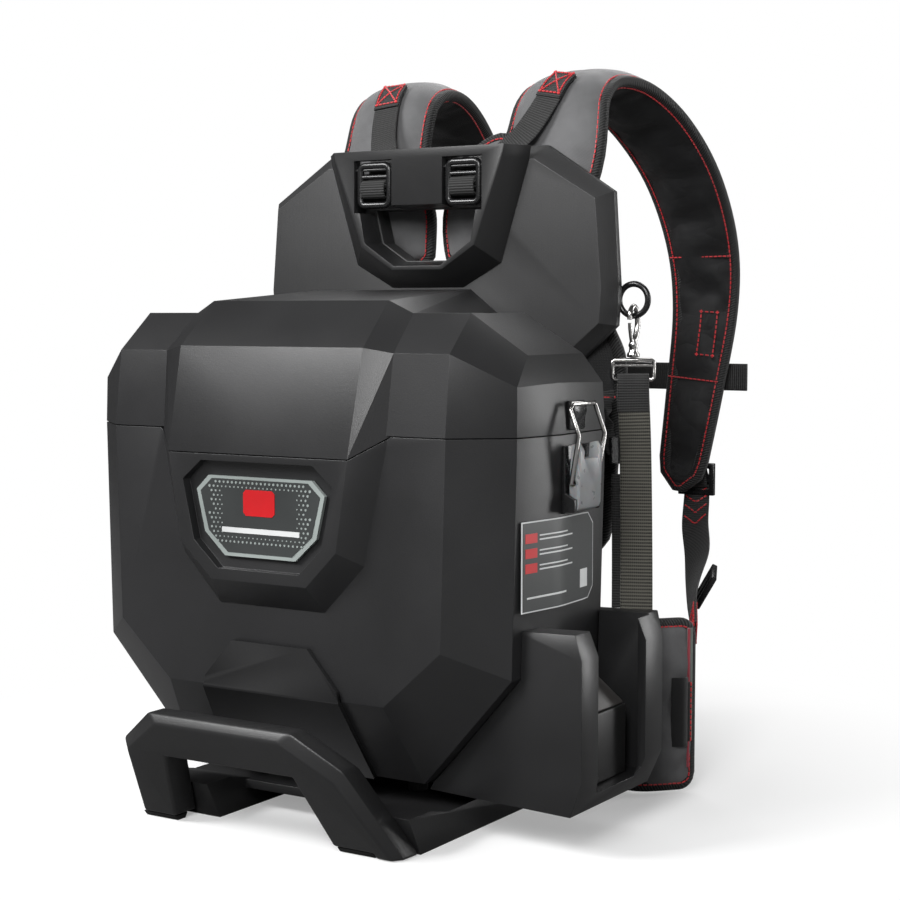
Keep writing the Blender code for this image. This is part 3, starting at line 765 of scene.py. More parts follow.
@dataclass(frozen=True)
class Stitcher:
    """Lays stitches along a line with Geometry Nodes.

    Attributes:
        pitch: the distance from one stitch to the next, in metres.
        length: how long a stitch shows, in metres.
        radius: the thread's radius, in metres.
    """

    pitch: float = 0.0042
    length: float = 0.0031
    radius: float = 0.00062

    def tree(self) -> bpy.types.NodeTree:
        """The node tree, made once, in which a line's points carry rods turned along it."""
        found = bpy.data.node_groups.get("stitch_run")
        if found:
            return found
        tree = group_for("stitch_run", ("Pitch", "Length", "Radius"), "Thread")
        kinds = (
            "NodeGroupInput", "NodeGroupOutput", "GeometryNodeMeshToCurve", "GeometryNodeResampleCurve",
            "GeometryNodeInputTangent", "FunctionNodeAlignRotationToVector", "GeometryNodeMeshCylinder",
            "GeometryNodeInstanceOnPoints", "GeometryNodeRealizeInstances", "GeometryNodeSetMaterial",
        )
        start, end, line, resample, tangent, turn, rod, place, real, coat = map(tree.nodes.new, kinds)
        resample.mode = "LENGTH"
        turn.axis = "Z"
        rod.inputs["Vertices"].default_value = 6
        wired(
            tree, (start.outputs[0], line.inputs[0]), (line.outputs[0], resample.inputs["Curve"]),
            (start.outputs["Pitch"], resample.inputs["Length"]), (tangent.outputs[0], turn.inputs["Vector"]),
            (start.outputs["Radius"], rod.inputs["Radius"]), (start.outputs["Length"], rod.inputs["Depth"]),
            (resample.outputs[0], place.inputs["Points"]), (rod.outputs[0], place.inputs["Instance"]),
            (turn.outputs[0], place.inputs["Rotation"]), (place.outputs[0], real.inputs[0]),
            (real.outputs[0], coat.inputs["Geometry"]), (start.outputs["Thread"], coat.inputs["Material"]),
            (coat.outputs[0], end.inputs[0]),
        )
        return tree

    def sew(self, name: str, lines: Sequence[Line], body: str, finish: Finish = RED) -> Piece:
        """Sews along lines that ride on one body.

        Args:
            name: the piece's name.
            lines: runs of points in the frame's metres.
            body: the body they ride on.
            finish: the thread.

        Returns:
            The stitches as one plain mesh.
        """
        mesh = bpy.data.meshes.new(name)
        points = [tuple(p) for line in lines for p in line]
        starts = np.cumsum([0, *(len(line) for line in lines)])
        edges = [(k, k + 1) for a, b in zip(starts, starts[1:]) for k in range(a, b - 1)]
        mesh.from_pydata(points, edges, [])
        rods = laid(scratch(mesh), self.tree(), Pitch=self.pitch, Length=self.length, Radius=self.radius,
                    Thread=finish.material())
        return finished(name, rods, [finish], body)


@dataclass(frozen=True)
class Puff:
    """Blows a pad's cover up with a short cloth simulation, its seams held.

    Attributes:
        pressure: the air pressure inside.
        slack: how much larger the cloth is than its pattern.
        most: how far a point may move, in metres.
        frames: the frames stepped.
    """

    pressure: float = 4.0
    slack: float = 0.03
    most: float = 0.006
    frames: int = 20

    def blow(self, mesh: Mesh, held: Sequence[int]) -> None:
        """Simulates the mesh in place.

        Args:
            mesh: the cover.
            held: the vertices that stay where they are.
        """
        rest = np.zeros(len(mesh.vertices) * 3)
        mesh.vertices.foreach_get("co", rest)
        piece = scratch(mesh)
        group = piece.vertex_groups.new(name="seam")
        group.add(list(held), 1.0, "REPLACE")
        step = piece.modifiers.new("cloth", "CLOTH")
        cloth = step.settings
        cloth.vertex_group_mass = "seam"
        cloth.use_pressure = True
        cloth.uniform_pressure_force = self.pressure
        cloth.shrink_min = cloth.shrink_max = -self.slack
        cloth.quality = 5
        cloth.mass = 0.3
        cloth.bending_stiffness = 0.6
        cloth.effector_weights.gravity = 0.0
        step.collision_settings.use_collision = False
        scene = bpy.context.scene
        step.point_cache.frame_start, step.point_cache.frame_end = 1, self.frames
        for frame in range(1, self.frames + 1):
            scene.frame_set(frame)
        graph = bpy.context.evaluated_depsgraph_get()
        moved = np.zeros_like(rest)
        piece.evaluated_get(graph).data.vertices.foreach_get("co", moved)
        shift = (moved - rest).reshape(-1, 3)
        far = np.linalg.norm(shift, axis=1, keepdims=True)
        shift *= np.minimum(1.0, self.most / np.maximum(far, SMALL))
        bpy.data.objects.remove(piece)
        scene.frame_set(1)
        mesh.vertices.foreach_set("co", rest + shift.ravel())
        mesh.update()


def softened(mesh: Mesh, levels: int = 1) -> Mesh:
    """Subdivides a mesh smoothly.

    Args:
        mesh: the mesh.
        levels: how many times.

    Returns:
        The smoother mesh.
    """
    piece = scratch(mesh)
    step = piece.modifiers.new("soft", "SUBSURF")
    step.levels = step.render_levels = levels
    step.boundary_smooth = "PRESERVE_CORNERS"
    return plain_copy(piece)


# ---------------------------------------------------------------- the unit

BAR_FRONT = -47.0     # the Y of the stand bar's front edge, in the design's millimetres


class Datum:
    """The design's own datum in the frame: the case's centre plane, the front feet's line and the floor."""

    def __init__(self) -> None:
        """Reads the datum from the case and the stand bar."""
        low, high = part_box("lower_case")
        self.origin = Vector(((low.x + high.x) / 2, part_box("stand_bar")[0].y - BAR_FRONT * MM, 0.0))

    def __call__(self, x: float, y: float, z: float) -> Vector:
        """A point given in millimetres from the datum, in the frame's metres."""
        return self.origin + Vector((x, y, z)) * MM

    def line(self, points: Iterable[Sequence[float]], sign: int = 1) -> list[Vector]:
        """Several points, their X taken times sign."""
        return [self(sign * p[0], p[1], p[2]) for p in points]


@dataclass
class Assembly:
    """A sub-assembly that is built around the datum."""

    datum: Datum

    def build(self) -> None:
        """Makes every piece of the sub-assembly."""
        raise NotImplementedError


@dataclass
class Case(Assembly):
    """The moulded tub and its lid, badge, hatch, label plate and what is inside."""

    rounding: float = 5.0

    def build(self) -> None:
        """Makes every piece of the case."""
        bevelled("lower_case", "pack", CASE, self.rounding, 4, 12.0)
        bevelled("lid", "lid", CASE, self.rounding, 4, 12.0)
        bevelled("hatch_cover", "pack", HATCH_SHADED, 1.6)
        self.badge()
        self.label()
        for node, body, finish in (
            ("lid_gasket", "lid", RUBBER), ("battery_tray", "pack", CASE_SMOOTH),
            ("battery_module_left", "pack", CELLS), ("battery_module_right", "pack", CELLS),
            ("control_board", "pack", BOARD), ("power_lead", "pack", RUBBER),
        ):
            bevelled(node, body, finish, 1.0, 2)

    def plate(
        self, name: str, outline: Sequence[Pair], back: float, front: float, finish: Finish,
        nodes: tuple[str, ...] = (),
    ) -> None:
        """An upright plate on the front, its outline given as X and Z.

        Args:
            name: the piece's name.
            outline: its corners in order.
            back: the Y of its rear face.
            front: the Y of its front face.
            finish: its finish.
            nodes: the solids it stands for.
        """
        rows = [[self.datum(x, y, z) for x, z in outline] for y in (back, front)]
        finished(name, Grid(rows).mesh(name), [finish], "pack", nodes, 30.0)

    def badge(self) -> None:
        """A plain badge: a pale rim, a dark middle with a field of dots, a red block and a pale bar."""
        half = ((49.5, 274.0), (61.2, 263.0), (53.3, 230.4), (33.7, 212.7))
        middle = 246.0

        def ring(grow: float) -> list[Pair]:
            """The outline, each corner moved out from the middle by grow."""
            found = []
            for x, z in (*half, *((-x, z) for x, z in reversed(half))):
                reach = math.hypot(x, z - middle)
                found.append((x + x / reach * grow, z + (z - middle) / reach * grow))
            return found

        self.plate("badge_base", ring(0), 12.6, 9.5, BORDER, ("badge_plate",))
        self.plate("badge_field", ring(-4.2), 9.6, 9.1, PRINT)
        corners = ((15, 262), (15, 247), (12.5, 244.5))
        block = [*corners, *((-x, z) for x, z in reversed(corners)), (-12.5, 264.5), (12.5, 264.5)]
        self.plate("badge_block", block, 9.2, 8.7, SIGNAL)
        self.plate("badge_bar", [(38, 235), (38, 231), (-36, 231), (-36, 235)], 9.2, 8.8, PALE)
        dots = []
        for row in range(16):
            fade = 0.04 * (row % 3)
            for column in range(28):
                x, z = -56 + 4 * column + 2 * (row % 2), 217 + 3.5 * row
                reach = max(abs(x) / 52.0, abs(z - middle) / 27.0)
                edge = 54 - 0.42 * max(0, 250 - z) - 0.5 * max(0, z - 262)
                if 0.66 < reach < 0.88 + fade and abs(x) < edge and 216 < z < 270:
                    dots.append((x, z, 0.55 + 2.2 * (reach - 0.66)))
        self.dots(dots)

    def dots(self, marks: Sequence[tuple[float, float, float]]) -> None:
        """Lays the badge's printed dots as instances.

        Args:
            marks: each dot's X, Z and radius in millimetres.
        """
        mesh = bpy.data.meshes.new("badge_dots")
        mesh.from_pydata([tuple(self.datum(x, 9.05, z)) for x, z, _ in marks], [], [])
        size = mesh.attributes.new("size", "FLOAT", "POINT")
        size.data.foreach_set("value", [r * MM for _, _, r in marks])
        tree = group_for("dot_print", (), "Ink")
        start, end, disc, place, real, coat, read = (tree.nodes.new(kind) for kind in (
            "NodeGroupInput", "NodeGroupOutput", "GeometryNodeMeshCylinder", "GeometryNodeInstanceOnPoints",
            "GeometryNodeRealizeInstances", "GeometryNodeSetMaterial", "GeometryNodeInputNamedAttribute",
        ))
        for label, value in (("Vertices", 10), ("Radius", 1.0), ("Depth", 0.4)):
            disc.inputs[label].default_value = value
        read.inputs["Name"].default_value = "size"
        place.inputs["Rotation"].default_value = (math.pi / 2, 0, 0)
        wired(
            tree, (start.outputs[0], place.inputs["Points"]), (disc.outputs[0], place.inputs["Instance"]),
            (read.outputs["Attribute"], place.inputs["Scale"]), (place.outputs[0], real.inputs[0]),
            (real.outputs[0], coat.inputs["Geometry"]), (start.outputs["Ink"], coat.inputs["Material"]),
            (coat.outputs[0], end.inputs[0]),
        )
        finished("badge_dots", laid(scratch(mesh), tree, Ink=BORDER.material()), [BORDER], "pack")

    def label(self) -> None:
        """A plain glossy plate on the right side, bent with the case, with blank printed blocks."""
        def face(y: float) -> float:
            """The X of the case's side at a Y."""
            return float(np.interp(y, (57, 109, 188), (198, 205, 201)))

        def patch(
            name: str, y0: float, y1: float, z0: float, z1: float, lift: float, finish: Finish,
            clip: float = 0.0,
        ) -> None:
            """A flat print on the side.

            Args:
                name: the piece's name.
                y0: its front edge.
                y1: its rear edge.
                z0: its lower edge.
                z1: its upper edge.
                lift: how far it stands from the side.
                finish: its finish.
                clip: how much of its rear corners is cut off.
            """
            rows = []
            for y in np.linspace(y0, y1, 13):
                x, cut = face(y), clip * max(0.0, (y - (y1 - clip)) / max(clip, 0.1))
                low, high = z0 + cut, z1 - cut
                corners = ((0.1, low), (lift, low), (lift, high), (0.1, high))
                rows.append([self.datum(x + u, y, z) for u, z in corners])
            finished(name, Grid(rows).mesh(name), [finish], "pack", (), 30.0)

        patch("label_rim", 62, 165, 180, 247, 0.6, PALE, 9.0)
        patch("label_field", 63, 164, 181, 246, 0.8, PRINT, 8.6)
        for k, z in enumerate((231, 220, 209)):
            patch(f"label_flag_{k}", 66, 80, z, z + 7, 1.0, SIGNAL)
            patch(f"label_line_{k}", 83, 128, z + 1.5, z + 2.6, 1.0, PALE)
            patch(f"label_rule_{k}", 83, 120, z + 4.6, z + 5.6, 1.0, PALE)
        patch("label_square", 142, 154, 190, 204, 1.0, PALE)
        patch("label_foot", 68, 118, 190, 191.4, 1.0, PALE)


@dataclass
class Dock(Assembly):
    """The open-topped connector dock on the right."""

    def build(self) -> None:
        """Makes every piece of the dock."""
        bevelled("side_pocket", "pack", POCKET, 3.5, 3)
        bevelled("dock_ramp", "pack", DOCK, 2.2)
        bevelled("dock_block", "pack", BLOCK, 1.5)
        bevelled("output_socket", "pack", BLOCK, 1.0)


@dataclass
class Latch(Assembly):
    """A draw latch on one side of the case."""

    side: Side = Side.RIGHT

    def build(self) -> None:
        """Makes the latch's pieces."""
        tag = self.side.tag
        bevelled(f"latch_base_{tag}", "pack", BUCKLE, 0.8)
        bevelled(f"latch_lever_{tag}", f"lever_{tag}", LEVER, 1.4)
        bevelled(f"latch_catch_{tag}", "lid", BUCKLE, 0.8)
        bevelled(f"latch_bail_{tag}", f"bail_{tag}", CHROME, 0.4, 2, 60.0)


@dataclass
class Chassis(Assembly):
    """The back plate, the crown with its hand hole, the case mounts, the feet and the stand."""

    def build(self) -> None:
        """Makes every piece of the chassis."""
        bevelled("back_frame", "pack", FRAME, 2.5, 3)
        bevelled("carry_handle", "pack", CROWN, 2.5, 3)
        bevelled("stand_bar", "pack", STAND, 4.0, 4)
        bevelled("base_sled", "pack", STAND, 2.0, 2)
        sides = [f"{node}_{side.tag}" for side in Side for node in ("case_mount", "foot_front")]
        for node in ("foot_rear", *sides):
            bevelled(node, "pack", RUBBER, 1.0, 2)


# ---------------------------------------------------------------- soft goods

def pipe(
    name: str, points: Line, radius: float | Callable[[int], float], body: str, finish: Finish,
    nodes: Iterable[str] = (), across: Sequence[float] = (1, 0, 0), closed: bool = False, sides: int = 12,
) -> Piece:
    """A round bar along a route.

    Args:
        name: the piece's name.
        points: the route.
        radius: its radius in metres, or one for each stop.
        body: the body it moves with.
        finish: its finish.
        nodes: the solids it stands for.
        across: a direction that the route never runs along.
        closed: whether it closes on itself.
        sides: faces round it.

    Returns:
        The piece.
    """
    route = [points[-1], *points, points[0]] if closed else list(points)
    skip = 1 if closed else 0
    size = radius if callable(radius) else lambda i: radius
    rows = Track.of(route, across).rows(lambda i: round_section(size(max(0, i - skip)), sides))
    mesh = Grid(rows[skip:len(rows) - skip], looped=closed).mesh(name)
    return finished(name, mesh, [finish], body, nodes, 50.0)


WEB = 25.0            # webbing widths in millimetres
HIP_WEB = 50.0
LOCK_X = 45.0         # middle of a ladder lock, in the design's millimetres
LOCK_Y = 230.0


@dataclass
class Strap:
    """A length of webbing laid along a route."""

    name: str
    points: Line
    across: Sequence[Sequence[float]] | Sequence[float]
    width: float
    thick: float
    finish: Finish = WEBBING
    body: str = "pack"
    nodes: tuple[str, ...] = ()

    def make(self) -> Track:
        """Makes the strap and returns its track."""
        track = Track.of(self.points, self.across)
        rows = track.rows(lambda i: strap_section(self.width * MM, self.thick * MM))
        finished(self.name, Grid(rows).mesh(self.name), [self.finish], self.body, self.nodes, 60.0)
        return track


def box_cross(track: Track, first: int, last: int, half: float, lift: float) -> list[list[Vector]]:
    """A sewn box with its diagonals.

    Args:
        track: the strap's track.
        first: the stop that it starts at.
        last: the stop that it ends at.
        half: half its width, in metres.
        lift: how far it lies from the track, in metres.

    Returns:
        The lines to sew.
    """
    stops = range(first, last + 1)
    reach = last - first
    sides = [[track.spot(i, s * half, lift) for i in stops] for s in (-1, 1)]
    ends = [[track.spot(i, a, lift) for a in (-half, 0, half)] for i in (first, last)]
    cross = [[track.spot(i, s * half * (2 * (i - first) / reach - 1), lift) for i in stops] for s in (-1, 1)]
    return [*sides, *ends, *cross]


@dataclass
class Cushion:
    """A stuffed panel laid along a track, its faces meeting at a thin bound edge.

    Attributes:
        name: the piece's name.
        track: where it runs.
        widths: its width at each stop, in metres.
        thicks: its thickness at each stop, in metres.
        body: the body it moves with.
        nodes: the solids it stands for.
        faces: the finish below the track, and the one above it.
        ends: how far from its first and its last stop the corners are rounded, in metres.
        edge: the edge's thickness, in metres.
        count: points across a face.
        puff: how it is blown up.
    """

    name: str
    track: Track
    widths: Sequence[float]
    thicks: Sequence[float]
    body: str
    nodes: tuple[str, ...]
    faces: tuple[Finish, Finish]
    ends: Pair = (0.006, 0.022)
    edge: float = 0.005
    count: int = 13
    puff: Puff = Puff()

    def __post_init__(self) -> None:
        """Rounds the corners by narrowing the first and last stops."""
        steps = [(b - a).length for a, b in zip(self.track.points, self.track.points[1:])]
        gone = np.concatenate([[0.0], np.cumsum(steps)])
        widths = []
        for width, done in zip(self.widths, gone):
            cut = 0.0
            for near, reach in ((done, self.ends[0]), (gone[-1] - done, self.ends[1])):
                if near < reach:
                    cut = max(cut, reach * (1 - math.sqrt(1 - (1 - near / reach) ** 2)))
            widths.append(max(width - 2 * cut, 0.3 * width))
        self.widths = widths

    def make(self) -> Piece:
        rows = self.track.rows(lambda i: plump(self.widths[i], self.thicks[i], self.edge, self.count))
        top = self.count
        mesh = Grid(rows, pick=lambda i, k: 0 if k < top - 1 or k == 2 * top - 1 else 1).mesh(self.name)
        total = 2 * top
        held = [v for v in range(len(mesh.vertices)) if v % total in (0, top - 1, top, total - 1)
                or v < total or v >= len(mesh.vertices) - total]
        self.puff.blow(mesh, held)
        piece = finished(self.name, softened(mesh), list(self.faces), self.body, self.nodes, 70.0)
        return piece

    def rim(self, inset: float = 0.0042) -> tuple[list[Vector], list[Vector]]:
        """The route round the edge, out along one side and back along the other.

        Args:
            inset: how far inside the edge it runs, in metres.

        Returns:
            The route, and its up direction at each stop.
        """
        stops = range(len(self.track.points))
        out = [self.track.spot(i, self.widths[i] / 2 - inset, 0) for i in stops]
        back = [self.track.spot(i, inset - self.widths[i] / 2, 0) for i in reversed(stops)]
        ups = [self.track.up[i] for i in stops]
        return [*out, *back], [*ups, *reversed(ups)]


@dataclass(frozen=True)
class Binding:
    """Ribbed tape folded over a panel's edge and sewn through.

    Attributes:
        half: half the tape's width as it shows, in metres.
        rise: how far it stands from the panel's middle, in metres.
    """

    half: float = 0.0063
    rise: float = 0.0048

    def bind(
        self, name: str, path: Line, ups: Line, body: str, closed: bool = False,
    ) -> list[list[Vector]]:
        """Makes the tape along a route.

        Args:
            name: the piece's name.
            path: the route round the panel.
            ups: the panel's up direction at each stop.
            body: the body it moves with.
            closed: whether the route closes on itself.

        Returns:
            The stitch lines, one on each face.
        """
        count, proud = len(path), self.rise + 0.0006
        turns = np.linspace(0, 2 * math.pi, 14, endpoint=False)
        rows, under, over = [], [], []
        for i, (point, up) in enumerate(zip(path, ups)):
            before = path[i - 1] if i or closed else point
            after = path[(i + 1) % count] if i + 1 < count or closed else point
            along = (after - before).normalized()
            out = along.cross(up).normalized()
            rows.append([
                point + out * (self.half * math.copysign(abs(math.cos(t)) ** 0.7, math.cos(t)))
                + up * (self.rise * math.copysign(abs(math.sin(t)) ** 0.7, math.sin(t)))
                for t in turns
            ])
            under.append(point - up * proud)
            over.append(point + up * proud)
        finished(name, Grid(rows, looped=closed).mesh(name), [BINDING], body, (), 60.0)
        return [under, over]


# design millimetres: Y, Z and thickness down a shoulder pad, then X and width on each side
PAD_FALL = (
    (277, 442, 18), (277, 488, 20), (283, 530, 22), (298, 576, 22), (326, 593, 22), (366, 588, 22),
    (408, 562, 20), (446, 518, 20), (473, 460, 18), (485, 400, 18), (476.5, 325, 17), (468, 238, 16),
)
PAD_PLAN = {
    Side.RIGHT: ((70, 140), (72, 142), (98, 100), (101, 86), (104, 82), (116, 78), (131, 74), (144, 70),
                 (151, 66), (149, 60), (143, 52), (133, 42)),
    Side.LEFT: ((77, 121), (77, 123), (71, 90), (70, 84), (70, 82), (71, 78), (73, 74), (75, 70),
                (77, 66), (78, 60), (79, 52), (80, 42)),
}
# Y and Z down a load lifter, then its X on each side
LIFTER_FALL = (
    (299, 598.5), (289.5, 590.5), (280.5, 578.5), (272, 563), (264.5, 547.5), (257, 536), (249, 528.5),
    (242.5, 522), (239.6, 508), (238.6, 494),
)
LIFTER_PLAN = {
    Side.RIGHT: (103, 100, 97, 91, 82, 70, 57, 48, 45, 45),
    Side.LEFT: (70, 69, 67, 64, 60, 54, 50, 47, 45, 45),
}
# X, Y and Z down a lower strap, then the direction across it; both sides end alike
LOWER_PLAN = {
    Side.LEFT: ((83, 484.5, 236, 1, 0, 0), (85, 481, 221, 1, 0, 0), (91, 474, 206, 1, 0.1, 0),
                (114, 456, 192, 1, 0.2, 0.3), (148, 431, 178, 1, 0.3, 0.8), (172, 407, 168, 0.8, 0.2, 1)),
    Side.RIGHT: ((143, 485, 237, 1, 0, 0), (144.5, 480, 222, 1, 0.1, 0), (150, 466, 203, 1, 0.2, 0.1),
                 (167, 434, 181, 1, 0.4, 0.6)),
}
LOWER_END = ((186, 386, 158, 0.6, 0, 1), (205, 344, 146, 0.2, 0, 1), (219, 318, 130, 0, 0, 1))
TIP_X = {Side.LEFT: 83, Side.RIGHT: 143}


@dataclass
class Shoulder(Assembly):
    """One padded shoulder strap with its load lifter, adjuster webbing and lower strap."""

    side: Side = Side.RIGHT
    steps: int = 7

    def build(self) -> None:
        """Makes the pad and everything sewn to it."""
        self.pad()
        self.lifter()
        self.lower()

    def pad(self) -> None:
        """The pad, its bound edge and the seams across its lining."""
        tag, sign = self.side.tag, self.side.value
        stops = [(x, y, z, width, thick) for (y, z, thick), (x, width) in zip(PAD_FALL, PAD_PLAN[self.side])]
        line = curve_through(stops, self.steps)
        track = Track.of([self.datum(sign * s[0], s[1], s[2]) for s in line], (1, 0, 0))
        seams = (8 * self.steps + 1, 10 * self.steps - 1)
        pinch = [1 - 0.34 * max(math.exp(-((i - s) / 1.1) ** 2) for s in seams) for i in range(len(line))]
        thicks = [s[4] * MM * p for s, p in zip(line, pinch)]
        cushion = Cushion(f"shoulder_cushion_{tag}", track, [s[3] * MM for s in line], thicks, "pack",
                          (f"shoulder_pad_{tag}",), (SHELL, LINING))
        cushion.make()
        path, ups = cushion.rim()
        lines = Binding().bind(f"shoulder_binding_{tag}", path, ups, "pack")
        if self.side is Side.RIGHT:
            box = range(seams[1] - 6, seams[1] - 1)
            edges = (0.002, 0.01, 0.018)
            lift = {i: thicks[i] * 0.5 + 0.0034 for i in box}
            lines += [[track.spot(i, a, lift[i]) for i in box] for a in (edges[0], edges[-1])]
            lines += [[track.spot(i, a, lift[i]) for a in edges] for i in (box[0], box[-1])]
        for seam in seams:
            reach, rise = cushion.widths[seam] * 0.44, thicks[seam] * 0.5 + 0.0022
            lines.append([track.spot(seam, a * reach, rise) for a in np.linspace(-1, 1, 9)])
        Stitcher().sew(f"shoulder_stitches_{tag}", lines, "pack")

    def lifter(self) -> None:
        """The load lifter, sewn to the pad with a boxed cross and threaded through its adjuster."""
        tag, sign = self.side.tag, self.side.value
        stops = [(x, y, z) for x, (y, z) in zip(LIFTER_PLAN[self.side], LIFTER_FALL)]
        route = self.datum.line(curve_through(stops, 4), sign)
        track = Strap(f"lifter_webbing_{tag}", route, (1, 0, 0), WEB, 1.8,
                      nodes=(f"lifter_strap_{tag}",)).make()
        patch = [track.spot(i, 0, 0.0017) for i in range(9)]
        Strap(f"lifter_patch_{tag}", patch, (1, 0, 0), WEB, 1.6).make()
        lines = box_cross(track, 0, 7, 0.0098, 0.0029)
        Stitcher(0.0034, 0.0029, 0.00075).sew(f"lifter_stitches_{tag}", lines, "pack")
        self.adjuster()

    def adjuster(self) -> None:
        """The ladder lock: a rounded frame with its bars, and the webbing folded over the middle one."""
        tag, sign = self.side.tag, self.side.value
        lock = f"lock_{tag}"
        half, tall, turn = 15, 18, 5.0
        corner = [(half - turn + turn * math.cos(t), tall - turn + turn * math.sin(t))
                  for t in np.linspace(0, math.pi / 2, 6)]
        quarter = [*corner, *((-x, z) for x, z in reversed(corner))]
        loop = [*quarter, *((x, -z) for x, z in reversed(quarter))]
        frame = self.datum.line([(LOCK_X + x, LOCK_Y, 507.6 + z * 0.94) for x, z in loop], sign)
        pipe(f"lock_frame_{tag}", frame, 0.003, lock, BUCKLE, (f"ladder_lock_{tag}",), (0, 1, 0), True)
        for k, (z, radius) in enumerate(((514.8, 1.9), (502.4, 1.6))):
            bar = self.datum.line([(LOCK_X + x, LOCK_Y, z) for x in (-half, 0, half)], sign)
            pipe(f"lock_bar_{tag}_{k}", bar, radius * MM, lock, BUCKLE, (), (0, 1, 0))
        wrap = [(LOCK_X, y, z) for y, z in (
            (234.6, 509), (234.6, 501), (231.5, 497.4), (227.4, 497.8), (225.8, 501), (225.4, 505.5),
            (226.4, 509.6), (229, 511.2),
        )]
        route = self.datum.line(curve_through(wrap, 3), sign)
        Strap(f"lock_wrap_{tag}", route, (1, 0, 0), 24.5, 1.4, body=lock).make()

    def lower(self) -> None:
        """The strap from the pad's tip down to the hip wing, with its buckles."""
        tag, sign = self.side.tag, self.side.value
        line = curve_through([*LOWER_PLAN[self.side], *LOWER_END], 6)
        route = [self.datum(sign * s[0], s[1], s[2]) for s in line]
        wide = [(sign * s[3], s[4], s[5]) for s in line]
        track = Strap(f"lower_webbing_{tag}", route, wide, WEB, 2.0, nodes=(f"lower_strap_{tag}",)).make()
        last, lift = len(route) - 1, 0.0013
        zigzag = [[track.spot(i, a, lift) for i, a in ((k, -0.009), (k + 2, 0.0), (k, 0.009))]
                  for k in range(1, 12, 3)]
        for face in (lift, -lift):
            zigzag += box_cross(track, last - 5, last, 0.0095, face)
        Stitcher(0.0036, 0.003, 0.0007).sew(f"lower_stitches_{tag}", zigzag, "pack")
        bevelled(f"tip_buckle_{tag}", "pack", BUCKLE, 0.9)
        bevelled(f"lower_buckle_{tag}", "pack", BUCKLE, 1.0)
        x = TIP_X[self.side]
        loop = [(x, y, z) for y, z in (
            (478.4, 266), (479.6, 256), (482, 250), (486.6, 246), (488, 242), (486, 238.5), (481.5, 237.5),
            (479.2, 243), (477.6, 252), (475, 262),
        )]
        Strap(f"tip_loop_{tag}", self.datum.line(curve_through(loop, 3), sign), (1, 0, 0), 24.0, 1.6).make()


@dataclass
class Back(Assembly):
    """The back pad and the lumbar pad against the plate."""

    def panel(self, node: str, middle: float, outline: Sequence[Pair], thick: float) -> None:
        """One mesh-covered pad.

        Args:
            node: the solid that it stands for.
            middle: the Y of its middle.
            outline: its height and width at each stop, in millimetres.
            thick: its thickness.
        """
        line = curve_through(outline, 8)
        track = Track.of([self.datum(0, middle, z) for z, _ in line], (1, 0, 0))
        count = len(line)
        channels = [0.5 + 0.5 * math.cos(2 * math.pi * 4 * i / (count - 1)) for i in range(count)]
        thicks = [thick * MM * (1 - 0.3 * c**6) for c in channels]
        cushion = Cushion(f"{node}_cushion", track, [w * MM for _, w in line], thicks, "pack", (node,),
                          (PADDING, PADDING), ends=(0.02, 0.02), count=17)
        cushion.make()
        path, ups = cushion.rim()
        Binding().bind(f"{node}_binding", path, ups, "pack", closed=True)
        seams = [i for i, c in enumerate(channels) if c > 0.999][1:-1]
        lines = [[track.spot(i, a * cushion.widths[i], thicks[i] * 0.5 + 0.0002)
                  for a in np.linspace(-0.46, 0.46, 15)] for i in seams]
        Stitcher().sew(f"{node}_stitches", lines, "pack", BLACK)

    def build(self) -> None:
        """Makes both pads."""
        upper = ((197, 236), (206, 310), (280, 330), (352, 344), (388, 318), (427, 292))
        self.panel("back_pad", 277.0, upper, 21.0)
        self.panel("lumbar_pad", 278.0, ((41, 290), (80, 296), (120, 299), (185, 282)), 23.0)


